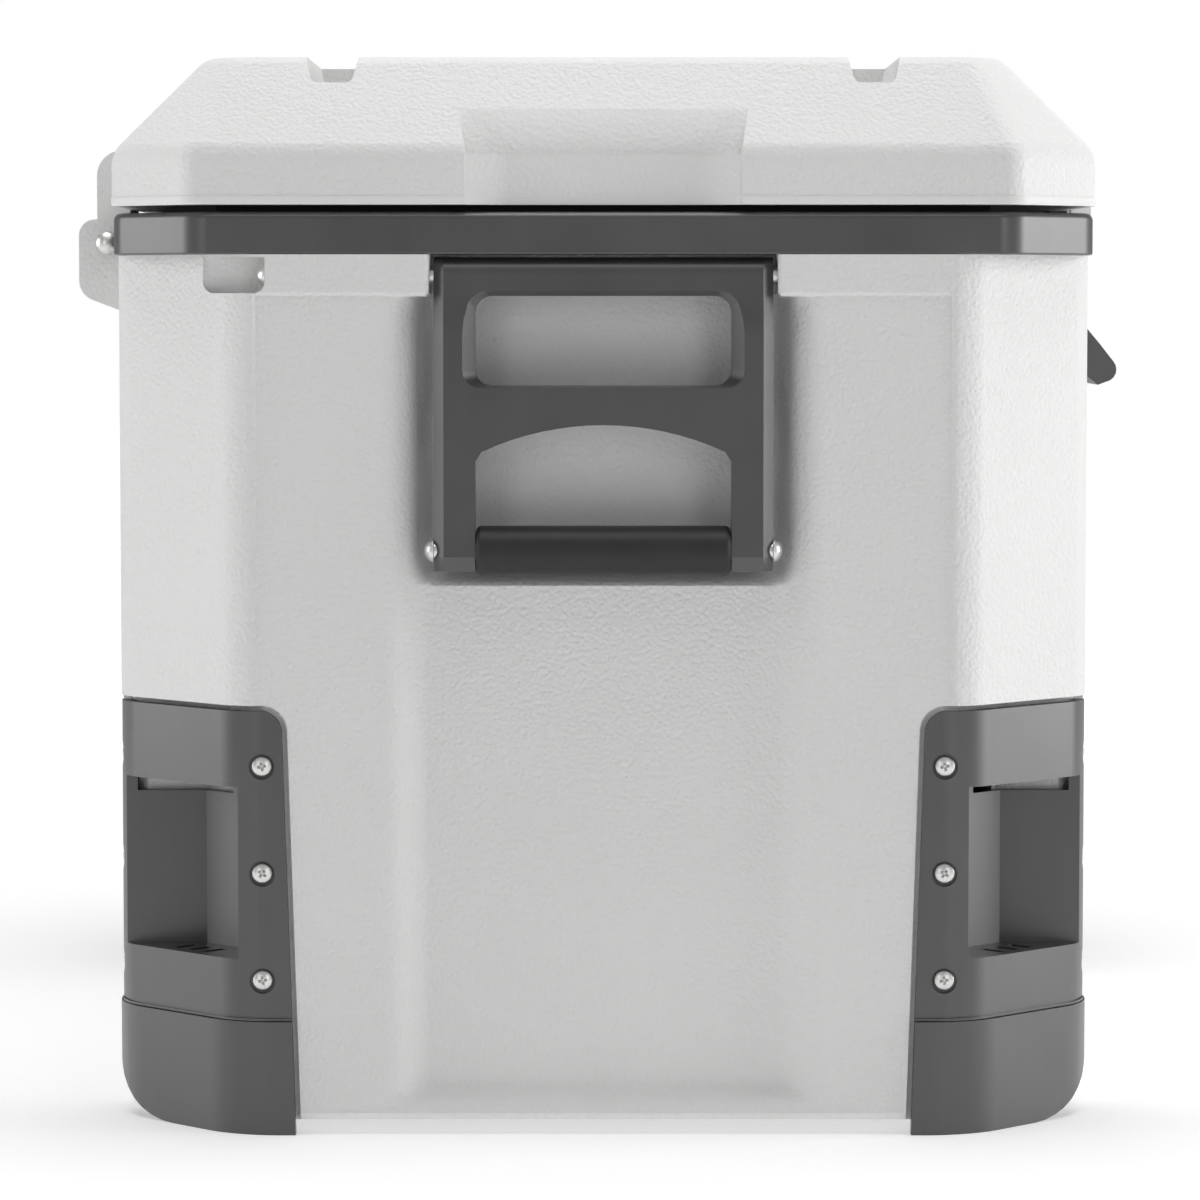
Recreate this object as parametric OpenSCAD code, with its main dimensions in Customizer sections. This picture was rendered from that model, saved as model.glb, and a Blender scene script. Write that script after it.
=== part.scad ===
// Hard cooler on two wheels, with a hinged lid, a swing handle and tie-down corner guards.
// X runs from the hinge side (-X) to the latch side (+X), Y from the handle end to the wheel end.
// The origin is on the ground under the middle of the object.

/* [Tub] */
// Length of the tub from the handle end to the wheel end
body_length = 700; // [560:10:900]
// Width of the tub across its long sides
body_width = 443; // [380:1:560]
// Height of the closed lid's flat top above the ground
lid_top = 483; // [430:1:600]
// Gap between the ground and the tub's underside
ground_gap = 6; // [4:1:20]
// Size of the 45 degree facet on each upright corner
corner_facet = 58; // [50:1:66]
// Whole thickness of the insulated side walls
insulation = 50; // [46:1:70]
// Wall of the moulded outer shells
shell_wall = 4; // [3:0.5:5]
// Wall of the inner liner
liner_wall = 3; // [2:0.5:4]

/* [Rim and lid] */
// Height of the dark rim frame
rim_height = 18.8; // [14:0.2:26]
// Facet on the rim's upright corners
rim_facet = 39; // [30:1:48]
// Space between rim and lid that the gasket closes
seal_gap = 3.2; // [2.5:0.1:5]
// Height of the lid's upright skirt
lid_skirt = 24; // [18:1:36]
// Height of the lid's sloped shoulder
lid_rise = 43.2; // [30:0.2:60]
// How far the shoulder runs inwards
lid_run = 41.8; // [30:0.2:60]
// Facet on the lid's upright corners
lid_facet = 38; // [30:1:48]
// Half width of the finger recess at each end of the lid
lift_half_width = 61.3; // [40:0.1:80]
// Depth of the finger recess at its ledge
lift_depth = 12; // [8:1:16]
// Distance of the strap notches from the middle of the lid
notch_offset = 122; // [80:1:140]
// Width of a strap notch at the lid's top
notch_width = 24; // [16:1:40]
// Depth of a strap notch
notch_depth = 12; // [6:1:18]
// How far a strap notch reaches in from the end
notch_reach = 156; // [90:1:200]

/* [Lid hinges] */
// Distance between the two hinges
hinge_spacing = 400; // [280:10:460]
// Width of one hinge across its two lugs
hinge_width = 90; // [60:2:120]
// Diameter of the hinge rods
hinge_rod_d = 8; // [6:0.5:10]
// How far the hinge axis stands off the tub's side
hinge_reach = 9.4; // [9:0.1:14]

/* [Latches] */
// Distance between the two latches
latch_spacing = 360; // [240:10:440]
// Width of a latch lever
latch_width = 44; // [30:1:60]
// Depth of the recess that a lever lies in
latch_recess = 12.5; // [12:0.5:20]
// Diameter of the latch pins
latch_pin_d = 6; // [4:0.5:7]

/* [Tow handle] */
// Width of the handle frame
handle_width = 151; // [120:1:180]
// Width of the opening between the arms
handle_window = 114; // [90:1:130]
// Distance from the pivot to the grip's centre
handle_reach = 122.4; // [105:0.2:170]
// Diameter of the pivot rod
pivot_rod_d = 7; // [6:0.5:8]
// Diameter of the grip
grip_d = 22.2; // [18:0.2:26]
// Depth of the bay that the handle folds into
bay_depth = 28; // [26:1:34]
// Depth of the shallow channel below the bay
channel_depth = 10; // [6:1:14]

/* [Corner guards] */
// Height of the guards
guard_top = 190.7; // [170:0.1:220]
// Wall of the guards
guard_wall = 5; // [4:0.5:6]
// Bottom of the tie-down pocket
pocket_floor = 79; // [70:1:90]
// Top of the tie-down pocket
pocket_roof = 156.3; // [140:0.1:165]
// Depth of the pocket behind each flat side
pocket_depth = 58; // [50:1:60]
// Height of the boot foot
foot_top = 51; // [40:1:58]
// How far the boot foot stands proud of the guard
foot_proud = 1.6; // [0:0.2:3]
// Diameter of the guard screws' heads
screw_head_d = 9; // [7:0.5:10]

/* [Wheels] */
// Diameter of the wheels
wheel_d = 150; // [130:2:160]
// Width of the wheels
wheel_width = 45; // [35:1:50]
// Diameter of the stub axles
axle_d = 12; // [10:1:14]
// How far the grip and the wheels reach past the tub's ends
end_reach = 8; // [6:0.5:12]

/* [Drain] */
// Bore of the drain fitting
drain_bore = 18; // [14:1:22]
// Depth of the recess that the drain knob sits in
drain_recess = 20; // [18:1:26]

/* [Hidden] */
$fn = 64;
round_fn = 128;
eps = 0.01;
far = 1000;

// Clearances: between fixed pieces, and radially in a running fit
fit = 0.2;
run = 0.05;

white = "gainsboro";
dark = "dimgray";
black = "#222222";
steel = "silver";
foam_colour = "khaki";

half_length = body_length / 2;
half_width = body_width / 2;
lid_base = lid_top - lid_rise - lid_skirt;
skirt_top = lid_base + lid_skirt;
rim_top = lid_base - seal_gap;
body_top = rim_top - rim_height;
lid_overhang = 0.5;
lid_half_length = half_length + lid_overhang;
lid_half_width = half_width + lid_overhang;
lift_side = 16.3;
lift_ledge = 5;
lift_flare = 3.2;

// The tub's inside
inner_half_length = half_length - insulation;
inner_half_width = half_width - insulation;
floor_z = ground_gap + insulation + 8;
inner_facet = 38;
flange_h = liner_wall;

// Tow handle
pivot_inset = 8;
barrel_r = 8;
pivot_y = pivot_inset - half_length;
pivot_z = body_top - barrel_r - 1.2;
grip_z = pivot_z - handle_reach;
grip_y = grip_d / 2 - half_length - end_reach;
handle_front = grip_y - 7;
handle_back = grip_y + 8;
neck_h = barrel_r + 1;
neck_lean = 15;
handle_foot = grip_z - 9.2;
grip_bolt_d = 8;
bolt_head_d = 11;
bolt_head_h = 4.4;
bay_half = handle_width / 2 + 1.5;
bay_flare = 13;
bay_floor = handle_foot + 5;
lug_h = 19;
rod_head_x = -handle_width / 2 - 74.7;
rod_end_x = handle_width / 2 + 34;
channel_flare = 22.5;
channel_foot = 14;

// Corner guards
flange_top_w = 77.8;
flange_bottom_w = 83.9;
pocket_wall = 4.5;
pocket_back = 97.5;
pocket_rail = 2.5;
band_gap = 2.2;
strap_space = 7;
strap_w = 38;
window_inset = 8;
window_h = 7;
screw_inset = 69;
screw_heights = [pocket_floor - 9.5, (pocket_floor + pocket_roof) / 2, pocket_roof + 9.4];
screw_recess_d = screw_head_d + 2.6;
screw_seat = 2.6;
shank_r = 2;
shank_l = 16;
boot_round = 27;

// Wheels
wheel_r = wheel_d / 2;
axle_y = half_length + end_reach - wheel_r;
wheel_outer_x = half_width - 2.3;
wheel_x = wheel_outer_x - wheel_width / 2;
well_depth = wheel_width + 11.5;
well_length = half_length - axle_y + wheel_r + 8;
well_roof = wheel_d + 8;
housing_flange = 22;
boss_r = 14;
boss_l = 12;
hub_r = wheel_r - 15;
bush_r = axle_d / 2 + 3;
toe = 45;
liner_bump = 22;

// Lid hinges
hinge_x = -half_width - hinge_reach;
hinge_z = body_top + 6.1;
lug_w = 24;
hinge_gap = 0.5;
lug_out = hinge_x - 13;
lug_top = hinge_z + 11.1;
lug_foot = body_top - 27.2;
knuckle_r = 7;
knuckle_top = skirt_top + 4;

// Latches
latch_pin_x = half_width - 2;
latch_pin_z = skirt_top - 9.8;
lever_in = half_width - latch_recess + 3;
lever_out = lever_in + 8;
ear_w = 7;
ear_out = lid_half_width + 8.4;
recess_foot = body_top - 66;
keeper_z = body_top - 18;
keeper_h = 20;
keeper_w = 28;

// Drain
drain_z = floor_z + 24;
drain_seat = half_length - drain_recess;

mid = latch_width / 2;

// ---------------------------------------------------------------- shapes

function arc(cx, cy, r, a0, a1, n = 5) =
    [for (i = [0:n]) [cx + r * cos(a0 + (a1 - a0) * i / n), cy + r * sin(a0 + (a1 - a0) * i / n)]];

// A rectangle with 45 degree facets, seen from above, moved inwards by inset
function faceted(hw, hl, facet, inset = 0) =
    let (w = hw - inset, l = hl - inset, c = facet - inset * (2 - sqrt(2)))
    [[-w + c, -l], [w - c, -l], [w, -l + c], [w, l - c], [w - c, l], [-w + c, l], [-w, l - c], [-w, -l + c]];

// A plan drawn in XY and raised from z0 to z1
module raised(points, z0, z1) {
    translate([0, 0, z0]) linear_extrude(z1 - z0) polygon(points);
}

// A profile drawn in XZ and run along Y from y0 to y1
module along_y(points, y0, y1) {
    translate([0, y1, 0]) rotate([90, 0, 0]) linear_extrude(y1 - y0) polygon(points);
}

// A profile drawn in YZ and run along X from x0 to x1
module along_x(points, x0, x1) {
    translate([x0, 0, 0]) rotate([90, 0, 90]) linear_extrude(x1 - x0) polygon(points);
}

module block(low, high) {
    translate(low) cube(high - low);
}

module rod_x(r, x0, x1, y, z) {
    translate([x0, y, z]) rotate([0, 90, 0]) cylinder(r = r, h = x1 - x0);
}

module rod_y(r, y0, y1, x, z) {
    translate([x, y0, z]) rotate([-90, 0, 0]) cylinder(r = r, h = y1 - y0);
}

// A domed head of radius r and height h that stands on the XY plane
module dome(r, h) {
    ball = (r * r + h * h) / (2 * h);
    intersection() {
        translate([0, 0, h - ball]) sphere(r = ball);
        cylinder(r = r + 1, h = h + 1);
    }
}

// A pan head screw with a cross recess: its seat is on the XY plane and its shank runs down
module pan_screw(l = shank_l) {
    difference() {
        union() {
            cylinder(d = screw_head_d, h = 1);
            translate([0, 0, 1 - eps]) dome(screw_head_d / 2, screw_seat - 1);
            translate([0, 0, -l]) cylinder(r = shank_r, h = l + eps);
        }
        for (a = [0, 90]) rotate(a) translate([-2.4, -0.6, 1.1]) cube([4.8, 1.2, 3]);
    }
}

module both_y(offset) {
    for (y = [-offset, offset]) translate([0, y, 0]) children();
}

// Moves a corner's own frame to the tub's corner: its X runs in from the long side, its Y from the end
module at_corner(sx, sy) {
    mirror([sx > 0 ? 1 : 0, 0, 0])
        mirror([0, sy > 0 ? 1 : 0, 0])
            translate([-half_width, -half_length, 0]) children();
}

// ---------------------------------------------------------------- corner shapes, in a corner's own frame

// The slanted inner edges of the guard on both faces
module guard_span(grow, side_bottom = flange_bottom_w, side_top = flange_top_w) {
    top = guard_top + grow;
    lean = (flange_bottom_w - flange_top_w) / guard_top;
    intersection() {
        along_y([[-9, -1], [flange_bottom_w + grow, -1], [flange_top_w + grow - lean * grow, top], [-9, top]],
            -9, 260);
        along_x([[-9, -1], [side_bottom + grow, -1], [side_top + grow, top], [-9, top]], -9, 260);
    }
}

// The plan of the space behind the guard's pocket
function pocket_plan(grow) =
    let (d = pocket_depth + pocket_wall + grow, s = pocket_back + (pocket_wall + grow) * sqrt(2) - d,
         t = guard_wall + grow)
    [[-9, -9], [200, -9], [200, t], [d, t], [d, s], [s, d], [t, d], [t, 200], [-9, 200]];

// The plan of the two flanges and the facet's band
function band_plan(depth, grow) =
    let (t = guard_wall + grow, b = corner_facet + (depth + grow) * sqrt(2))
    [[-9, -9], [200, -9], [200, t], [b - t, t], [t, b - t], [t, 200], [-9, 200]];

module guard_notch(grow) {
    intersection() {
        guard_span(grow + band_gap);
        union() {
            raised(pocket_plan(grow), -1, pocket_roof + pocket_wall + grow);
            raised(band_plan(guard_wall + strap_space, grow), -1, guard_top + band_gap + grow);
        }
    }
}

module well_box(grow) {
    block([-9, -30, -9], [well_depth + grow, well_length + grow, well_roof + grow]);
}

module housing_notch(grow) {
    side = well_length + guard_wall + housing_flange;
    intersection() {
        guard_span(grow + band_gap, side, side);
        union() {
            raised(band_plan(guard_wall, grow), -1, guard_top + band_gap + grow);
            well_box(guard_wall + grow);
        }
    }
    translate([well_depth, half_length - axle_y, wheel_r]) rotate([0, 90, 0])
        cylinder(r = boss_r + grow, h = guard_wall + boss_l + grow);
}

// Puts children at each guard screw of one corner, with +Z pointing out of the face
module at_guard_screws(side_inset) {
    for (z = screw_heights) {
        translate([screw_inset, screw_seat, z]) rotate([90, 0, 0]) children();
        translate([screw_seat, side_inset, z]) rotate([0, -90, 0]) children();
    }
}

module screw_holes(r, side_inset) {
    at_guard_screws(side_inset) translate([0, 0, -shank_l - 1]) cylinder(r = r, h = shank_l + 2);
}

// ---------------------------------------------------------------- tub

module tub_block(inset, z0, z1) {
    raised(faceted(half_width, half_length, corner_facet, inset), z0, z1);
}

// Cut-outs in the tub's outside, drawn larger by grow to shape the wall behind them
module handle_bay(grow) {
    y0 = -half_length - 1;
    y1 = bay_depth - half_length + grow;
    w = bay_half + grow;
    k = bay_flare / bay_depth;
    block([-w, y0, pivot_z - 15 - grow], [w, y1, body_top + 1]);
    intersection() {
        raised([[-w - bay_flare - k, y0], [w + bay_flare + k, y0], [w, y1], [-w, y1]], 0, body_top - lug_h + grow);
        along_x([[y0, bay_floor - 18 - grow], [y1 - bay_depth + channel_depth, bay_floor - 18 - grow],
            [y1, bay_floor - grow], [y1, body_top], [y0, body_top]], -far, far);
    }
}

module end_channel(grow) {
    y0 = -half_length - 1;
    y1 = channel_depth - half_length + grow;
    w = bay_half + grow;
    k = channel_flare / channel_depth;
    raised([[-w - channel_flare - k, y0], [w + channel_flare + k, y0], [w, y1], [-w, y1]],
        channel_foot - grow, bay_floor + 10);
}

module rod_pocket(grow) {
    block([rod_head_x - 28.5 - grow, -half_length - 1, pivot_z - 8 - grow],
        [rod_head_x + grow, pivot_y + 8 + grow, pivot_z + 8 + grow]);
}

module latch_recess(grow, z1) {
    both_y(latch_spacing / 2)
        block([half_width - latch_recess - grow, -mid - 7 - grow, recess_foot - grow],
            [half_width + 9, mid + 7 + grow, z1]);
}

module drain_pocket(grow) {
    block([-30 - grow, drain_seat - grow, drain_z - 28 - grow],
        [30 + grow, half_length + 9, drain_z + 28 + grow]);
}

module toe_cut(grow) {
    k = grow * (sqrt(2) - 1);
    along_x([[half_length - toe - 20 - k, ground_gap - 20 - grow], [half_length + 20, ground_gap - 20 - grow],
        [half_length + 20, ground_gap + toe + 20 + k + grow]], -far, far);
}

module tub_cuts(grow) {
    handle_bay(grow);
    end_channel(grow);
    rod_pocket(grow);
    latch_recess(grow, body_top + 1);
    drain_pocket(grow);
    toe_cut(grow);
    for (sx = [-1, 1]) {
        at_corner(sx, -1) guard_notch(grow);
        at_corner(sx, 1) housing_notch(grow);
    }
}

// Solid bosses in the shell that hold the handle's pivot rod
module pivot_bosses(grow) {
    for (side = [[rod_head_x - 4, 4 - bay_half], [bay_half - 4, rod_end_x + 8]])
        block([side[0] - grow, -half_length, pivot_z - 11 - grow], [side[1] + grow, pivot_y + 12 + grow, body_top]);
}

module hinge_lugs() {
    lug = concat([[2 - half_width, lug_foot], [lug_out, lug_foot + 9.4]],
        [for (p = arc(lug_out + 7.5, lug_top - 7.5, 7.5, 180, 90)) p],
        [[-half_width - 0.3, lug_top], [-half_width - 0.3, body_top], [2 - half_width, body_top]]);
    both_y(hinge_spacing / 2)
        for (y = [-hinge_width / 2, hinge_width / 2 - lug_w]) along_y(lug, y, y + lug_w);
}

module liner_block(grow, z0, z1) {
    g = grow;
    difference() {
        raised(faceted(inner_half_width, inner_half_length, inner_facet, -g), z0 - g, z1);
        for (sx = [-1, 1]) at_corner(sx, 1)
            block([-far, -far, -far], [well_depth + guard_wall + shell_wall + liner_bump - g,
                well_length + guard_wall + shell_wall + liner_bump - g,
                well_roof + guard_wall + shell_wall + liner_bump - g]);
    }
}

module outer_shell() {
    color(white) difference() {
        union() {
            tub_block(0, ground_gap, body_top);
            hinge_lugs();
        }
        difference() {
            tub_block(shell_wall, ground_gap + shell_wall, body_top + 1);
            tub_cuts(shell_wall);
            pivot_bosses(0);
        }
        tub_cuts(0);
        rod_x(pivot_rod_d / 2 + run, rod_head_x - eps, rod_end_x, pivot_y, pivot_z);
        rod_y(hinge_rod_d / 2 + run, -half_length, half_length, hinge_x, hinge_z);
        rod_y(drain_bore / 2 + 4 + run, drain_seat - 9, half_length, 0, drain_z);
        for (sx = [-1, 1]) {
            at_corner(sx, -1) screw_holes(shank_r + run, screw_inset);
            at_corner(sx, 1) screw_holes(shank_r + run, well_length + guard_wall + housing_flange / 2);
            at_corner(sx, 1) translate([well_depth, half_length - axle_y, wheel_r]) rotate([0, 90, 0])
                cylinder(r = boss_r + fit, h = guard_wall + boss_l + fit);
        }
        both_y(latch_spacing / 2) keeper_holes(shank_r + run);
    }
}

module inner_liner() {
    color(white) difference() {
        union() {
            liner_block(liner_wall, floor_z, body_top);
            tub_block(shell_wall + fit, body_top - flange_h, body_top);
        }
        liner_block(0, floor_z, body_top + 1);
        tub_cuts(shell_wall + fit);
        rod_y(drain_bore / 2 + 4 + run, 0, half_length, 0, drain_z);
        pivot_bosses(fit);
    }
}

module insulation_foam() {
    color(foam_colour) difference() {
        tub_block(shell_wall + fit, ground_gap + shell_wall + fit, body_top - flange_h - fit);
        liner_block(liner_wall + fit, floor_z, body_top + 1);
        tub_cuts(shell_wall + fit);
        pivot_bosses(fit);
        rod_y(drain_bore / 2 + 4 + fit, 0, half_length, 0, drain_z);
        for (sx = [-1, 1]) {
            at_corner(sx, -1) screw_holes(shank_r + fit, screw_inset);
            at_corner(sx, 1) screw_holes(shank_r + fit, well_length + guard_wall + housing_flange / 2);
        }
        both_y(latch_spacing / 2) keeper_holes(shank_r + fit);
    }
}

module rim_frame() {
    color(dark) difference() {
        raised(faceted(half_width, half_length, rim_facet), body_top, rim_top);
        raised(faceted(inner_half_width, inner_half_length, inner_facet), body_top - 1, rim_top + 1);
        latch_recess(0, rim_top + 1);
    }
}

// ---------------------------------------------------------------- corner guards and feet

// A five-sided space between two flat sides, inset from both, and the 45 degree back wall
module corner_space(inset, z0, z1) {
    d = pocket_depth;
    raised([[d, inset], [d, pocket_back - d], [pocket_back - d, d], [inset, d], [inset, inset]], z0, z1);
}

module guard(sx) {
    color(dark) difference() {
        intersection() {
            tub_block(0, foot_top + 0.3, guard_top);
            at_corner(sx, -1) guard_span(-fit);
            at_corner(sx, -1) union() {
                raised(pocket_plan(-fit), foot_top, pocket_roof + pocket_wall - fit);
                raised(band_plan(guard_wall, -fit), foot_top, guard_top);
            }
        }
        at_corner(sx, -1) {
            corner_space(pocket_rail, pocket_floor, pocket_roof);
            foot_hollow(foot_top - 1, pocket_floor - pocket_wall);
            strap_slot();
            strap_window();
            drain_slots();
            screw_holes(shank_r + 0.3, screw_inset);
            at_guard_screws(screw_inset) cylinder(d = screw_recess_d, h = 9);
        }
    }
}

// The hollow inside the boot foot and under the pocket's floor
module foot_hollow(z0, z1) {
    b = corner_facet + guard_wall * sqrt(2) + 9;
    difference() {
        corner_space(guard_wall, z0, z1);
        raised([[-9, -9], [b, -9], [-9, b]], z0 - 1, z1 + 1);
    }
}

// A slot through the pocket's roof that leads a strap up behind the guard's band
module strap_slot() {
    c = (corner_facet + (guard_wall + strap_space / 2) * sqrt(2)) / 2;
    translate([c, c, pocket_roof - 1]) rotate(-45)
        translate([-strap_w / 2, -strap_space / 2, 0]) cube([strap_w, strap_space, pocket_wall + 2]);
}

// A window along the top of the pocket's back walls, which opens the way behind the band
module strap_window() {
    d = pocket_depth + pocket_wall + 1;
    s = pocket_back + (pocket_wall + 1) * sqrt(2) - d;
    raised([[window_inset, pocket_depth - 1], [window_inset, d], [s, d], [d, s], [pocket_depth, s - 2],
        [s - 2, pocket_depth - 1]], pocket_roof - window_h, pocket_roof);
}

module drain_slots() {
    for (i = [-1:1])
        translate([38 + i * 7, 38 - i * 7, pocket_floor - pocket_wall - 1]) rotate(45)
            translate([-6, -2, 0]) cube([12, 4, pocket_wall + 2]);
}

module foot(sx) {
    h = body_top;
    color(black) difference() {
        intersection() {
            tub_block(-foot_proud, 0, foot_top);
            at_corner(sx, -1) guard_span(-fit);
            at_corner(sx, -1) raised(pocket_plan(-fit), 0, foot_top);
            along_y(concat([[-half_width - foot_proud, h]],
                arc(boot_round - half_width - foot_proud, boot_round, boot_round, 180, 270, 8),
                arc(half_width + foot_proud - boot_round, boot_round, boot_round, 270, 360, 8),
                [[half_width + foot_proud, h]]), -far, far);
        }
        at_corner(sx, -1) foot_hollow(guard_wall, far);
    }
}

module guard_front() guard(1);
module guard_rear() guard(-1);
module foot_front() foot(1);
module foot_rear() foot(-1);

module guard_screws() {
    color(steel) for (sx = [-1, 1]) at_corner(sx, -1) at_guard_screws(screw_inset) pan_screw();
}

// ---------------------------------------------------------------- wheel end

module wheel_housing(sx) {
    side = well_length + guard_wall + housing_flange;
    color(dark) difference() {
        union() {
            intersection() {
                tub_block(0, ground_gap, guard_top);
                at_corner(sx, 1) guard_span(-fit, side - fit, side - fit);
                at_corner(sx, 1) union() {
                    raised(band_plan(guard_wall, -fit), 0, guard_top);
                    well_box(guard_wall - fit);
                }
            }
            at_corner(sx, 1) translate([well_depth, half_length - axle_y, wheel_r]) rotate([0, 90, 0])
                cylinder(r = boss_r - fit, h = guard_wall + boss_l - fit);
        }
        toe_cut(0);
        at_corner(sx, 1) {
            well_box(0);
            translate([0, half_length - axle_y, wheel_r]) rotate([0, 90, 0])
                cylinder(r = axle_d / 2 + run, h = far);
            screw_holes(shank_r + 0.3, well_length + guard_wall + housing_flange / 2);
            at_guard_screws(well_length + guard_wall + housing_flange / 2) cylinder(d = screw_recess_d, h = 9);
        }
    }
}

module wheel_housing_front() wheel_housing(1);
module wheel_housing_rear() wheel_housing(-1);

module housing_screws() {
    color(steel) for (sx = [-1, 1]) at_corner(sx, 1)
        at_guard_screws(well_length + guard_wall + housing_flange / 2) pan_screw();
}

// Puts children on a wheel's axis, with +Z pointing out of the tub's side
module on_axle(sx) {
    mirror([sx < 0 ? 1 : 0, 0, 0]) translate([wheel_x, axle_y, wheel_r]) rotate([0, 90, 0]) children();
}

module axle(sx) {
    end = half_width - wheel_x - well_depth - guard_wall - boss_l + 1;
    color(steel) on_axle(sx) {
        translate([0, 0, end]) cylinder(d = axle_d, h = wheel_width / 2 + 0.5 - end);
        translate([0, 0, wheel_width / 2 + 0.4]) cylinder(r = bush_r + 1, h = 1.2);
        translate([0, 0, wheel_width / 2 + 1.5]) dome(bush_r + 1, 2.6);
    }
}

module tyre(sx) {
    h = wheel_width / 2;
    color(black) on_axle(sx) rotate_extrude($fn = round_fn)
        polygon(concat([[hub_r, -h + 3], [hub_r, h - 3]],
            [[wheel_r - 8, h]], arc(wheel_r - 6, h - 6, 6, 90, 0, 3), arc(wheel_r - 6, 6 - h, 6, 0, -90, 3),
            [[wheel_r - 8, -h]]));
}

module hub(sx) {
    h = wheel_width / 2;
    color(dark) on_axle(sx) difference() {
        rotate_extrude($fn = round_fn) polygon([[bush_r, -h + 1], [18, -h + 1], [20, -5], [hub_r - 7, -5],
            [hub_r - 5, -h + 3], [hub_r, -h + 3], [hub_r, h - 3], [hub_r - 5, h - 3], [hub_r - 7, 5],
            [20, 5], [18, h - 1], [bush_r, h - 1]]);
        for (a = [0:60:300]) rotate(a) translate([(hub_r + 12) / 2, 0, -9]) cylinder(r = 9, h = 18);
    }
}

module wheel_bush(sx) {
    h = wheel_width / 2;
    color("white") on_axle(sx) difference() {
        cylinder(r = bush_r, h = 2 * h - 0.4, center = true);
        cylinder(r = axle_d / 2 + run, h = 2 * h + 1, center = true);
    }
}

module axle_front() axle(1);
module axle_rear() axle(-1);
module tyre_front() tyre(1);
module tyre_rear() tyre(-1);
module hub_front() hub(1);
module hub_rear() hub(-1);
module wheel_bush_front() wheel_bush(1);
module wheel_bush_rear() wheel_bush(-1);

// ---------------------------------------------------------------- tow handle

// The frame is thin down to the neck, so that it swings out level below the rim
module handle_frame() {
    w = handle_width / 2;
    win = handle_window / 2;
    f = handle_front;
    b = handle_back;
    arch_low = grip_z + 42.7;
    sag = 13.3;
    arch_r = (win * win + sag * sag) / (2 * sag);
    window_foot = arch_low + sag + 17.3;
    window_top = pivot_z - 9.2;
    r = 7.5;
    color(dark) difference() {
        intersection() {
            union() {
                rod_x(barrel_r, -w, w, pivot_y, pivot_z);
                along_x([[pivot_y - barrel_r, pivot_z], [pivot_y + barrel_r, pivot_z],
                    [b, pivot_z - 16], [b, handle_foot], [f, handle_foot],
                    [f, pivot_z - neck_h - neck_lean], [pivot_y - barrel_r - 0.3, pivot_z - neck_h]], -w, w);
            }
            along_y([[-w, handle_foot + 7.5], [7.5 - w, handle_foot], [w - 7.5, handle_foot],
                [w, handle_foot + 7.5], [w, far], [-w, far]], -far, 0);
        }
        along_y(concat(arc(win - r, window_top - r, r, 0, 90), arc(r - win, window_top - r, r, 90, 180),
            arc(r - win, window_foot + r, r, 180, 270), arc(win - r, window_foot + r, r, 270, 360)), -far, 0);
        intersection() {
            block([-win, -far, 0], [win, 0, arch_low + sag]);
            rod_y(arch_r, -far, 0, 0, arch_low + sag - arch_r);
        }
        rod_x(pivot_rod_d / 2 + run, -far, far, pivot_y, pivot_z);
        rod_x(grip_bolt_d / 2 + run, -far, far, grip_y, grip_z);
    }
}

module handle_grip() {
    l = handle_window / 2 - 0.3;
    color(black) difference() {
        rod_x(grip_d / 2, -l, l, grip_y, grip_z);
        rod_x(grip_bolt_d / 2 + run, -far, far, grip_y, grip_z);
    }
}

module grip_bolt() {
    w = handle_width / 2;
    color(steel) {
        rod_x(grip_bolt_d / 2, -w - 1, w + 1, grip_y, grip_z);
        for (sx = [-1, 1]) translate([sx * w, grip_y, grip_z]) rotate([0, sx * 90, 0])
            dome(bolt_head_d / 2, bolt_head_h);
    }
}

module handle_pivot_rod() {
    color(steel) {
        rod_x(pivot_rod_d / 2, rod_head_x - 1, rod_end_x - 1, pivot_y, pivot_z);
        translate([rod_head_x, pivot_y, pivot_z]) rotate([0, -90, 0]) dome(5, 3.3);
    }
}

// ---------------------------------------------------------------- lid

// The lid's outside: upright skirt, then an even shoulder on the sides, ends and corners
module lid_block(inset) {
    w = lid_half_width - inset;
    l = lid_half_length - inset;
    skirt = skirt_top;
    top = lid_top - inset;
    run_in = lid_run * (top - skirt) / lid_rise;
    c = lid_facet - inset * (2 - sqrt(2));
    d = (w + l - c) / sqrt(2);
    intersection() {
        raised(faceted(lid_half_width, lid_half_length, lid_facet, inset), lid_base - inset, top);
        along_y([[-w, 0], [w, 0], [w, skirt], [w - run_in, top], [run_in - w, top], [-w, skirt]], -far, far);
        along_x([[-l, 0], [l, 0], [l, skirt], [l - run_in, top], [run_in - l, top], [-l, skirt]], -far, far);
        rotate(45)
            along_y([[-d, 0], [d, 0], [d, skirt], [d - run_in, top], [run_in - d, top], [-d, skirt]], -far, far);
        rotate(-45)
            along_y([[-d, 0], [d, 0], [d, skirt], [d - run_in, top], [run_in - d, top], [-d, skirt]], -far, far);
    }
}

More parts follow.
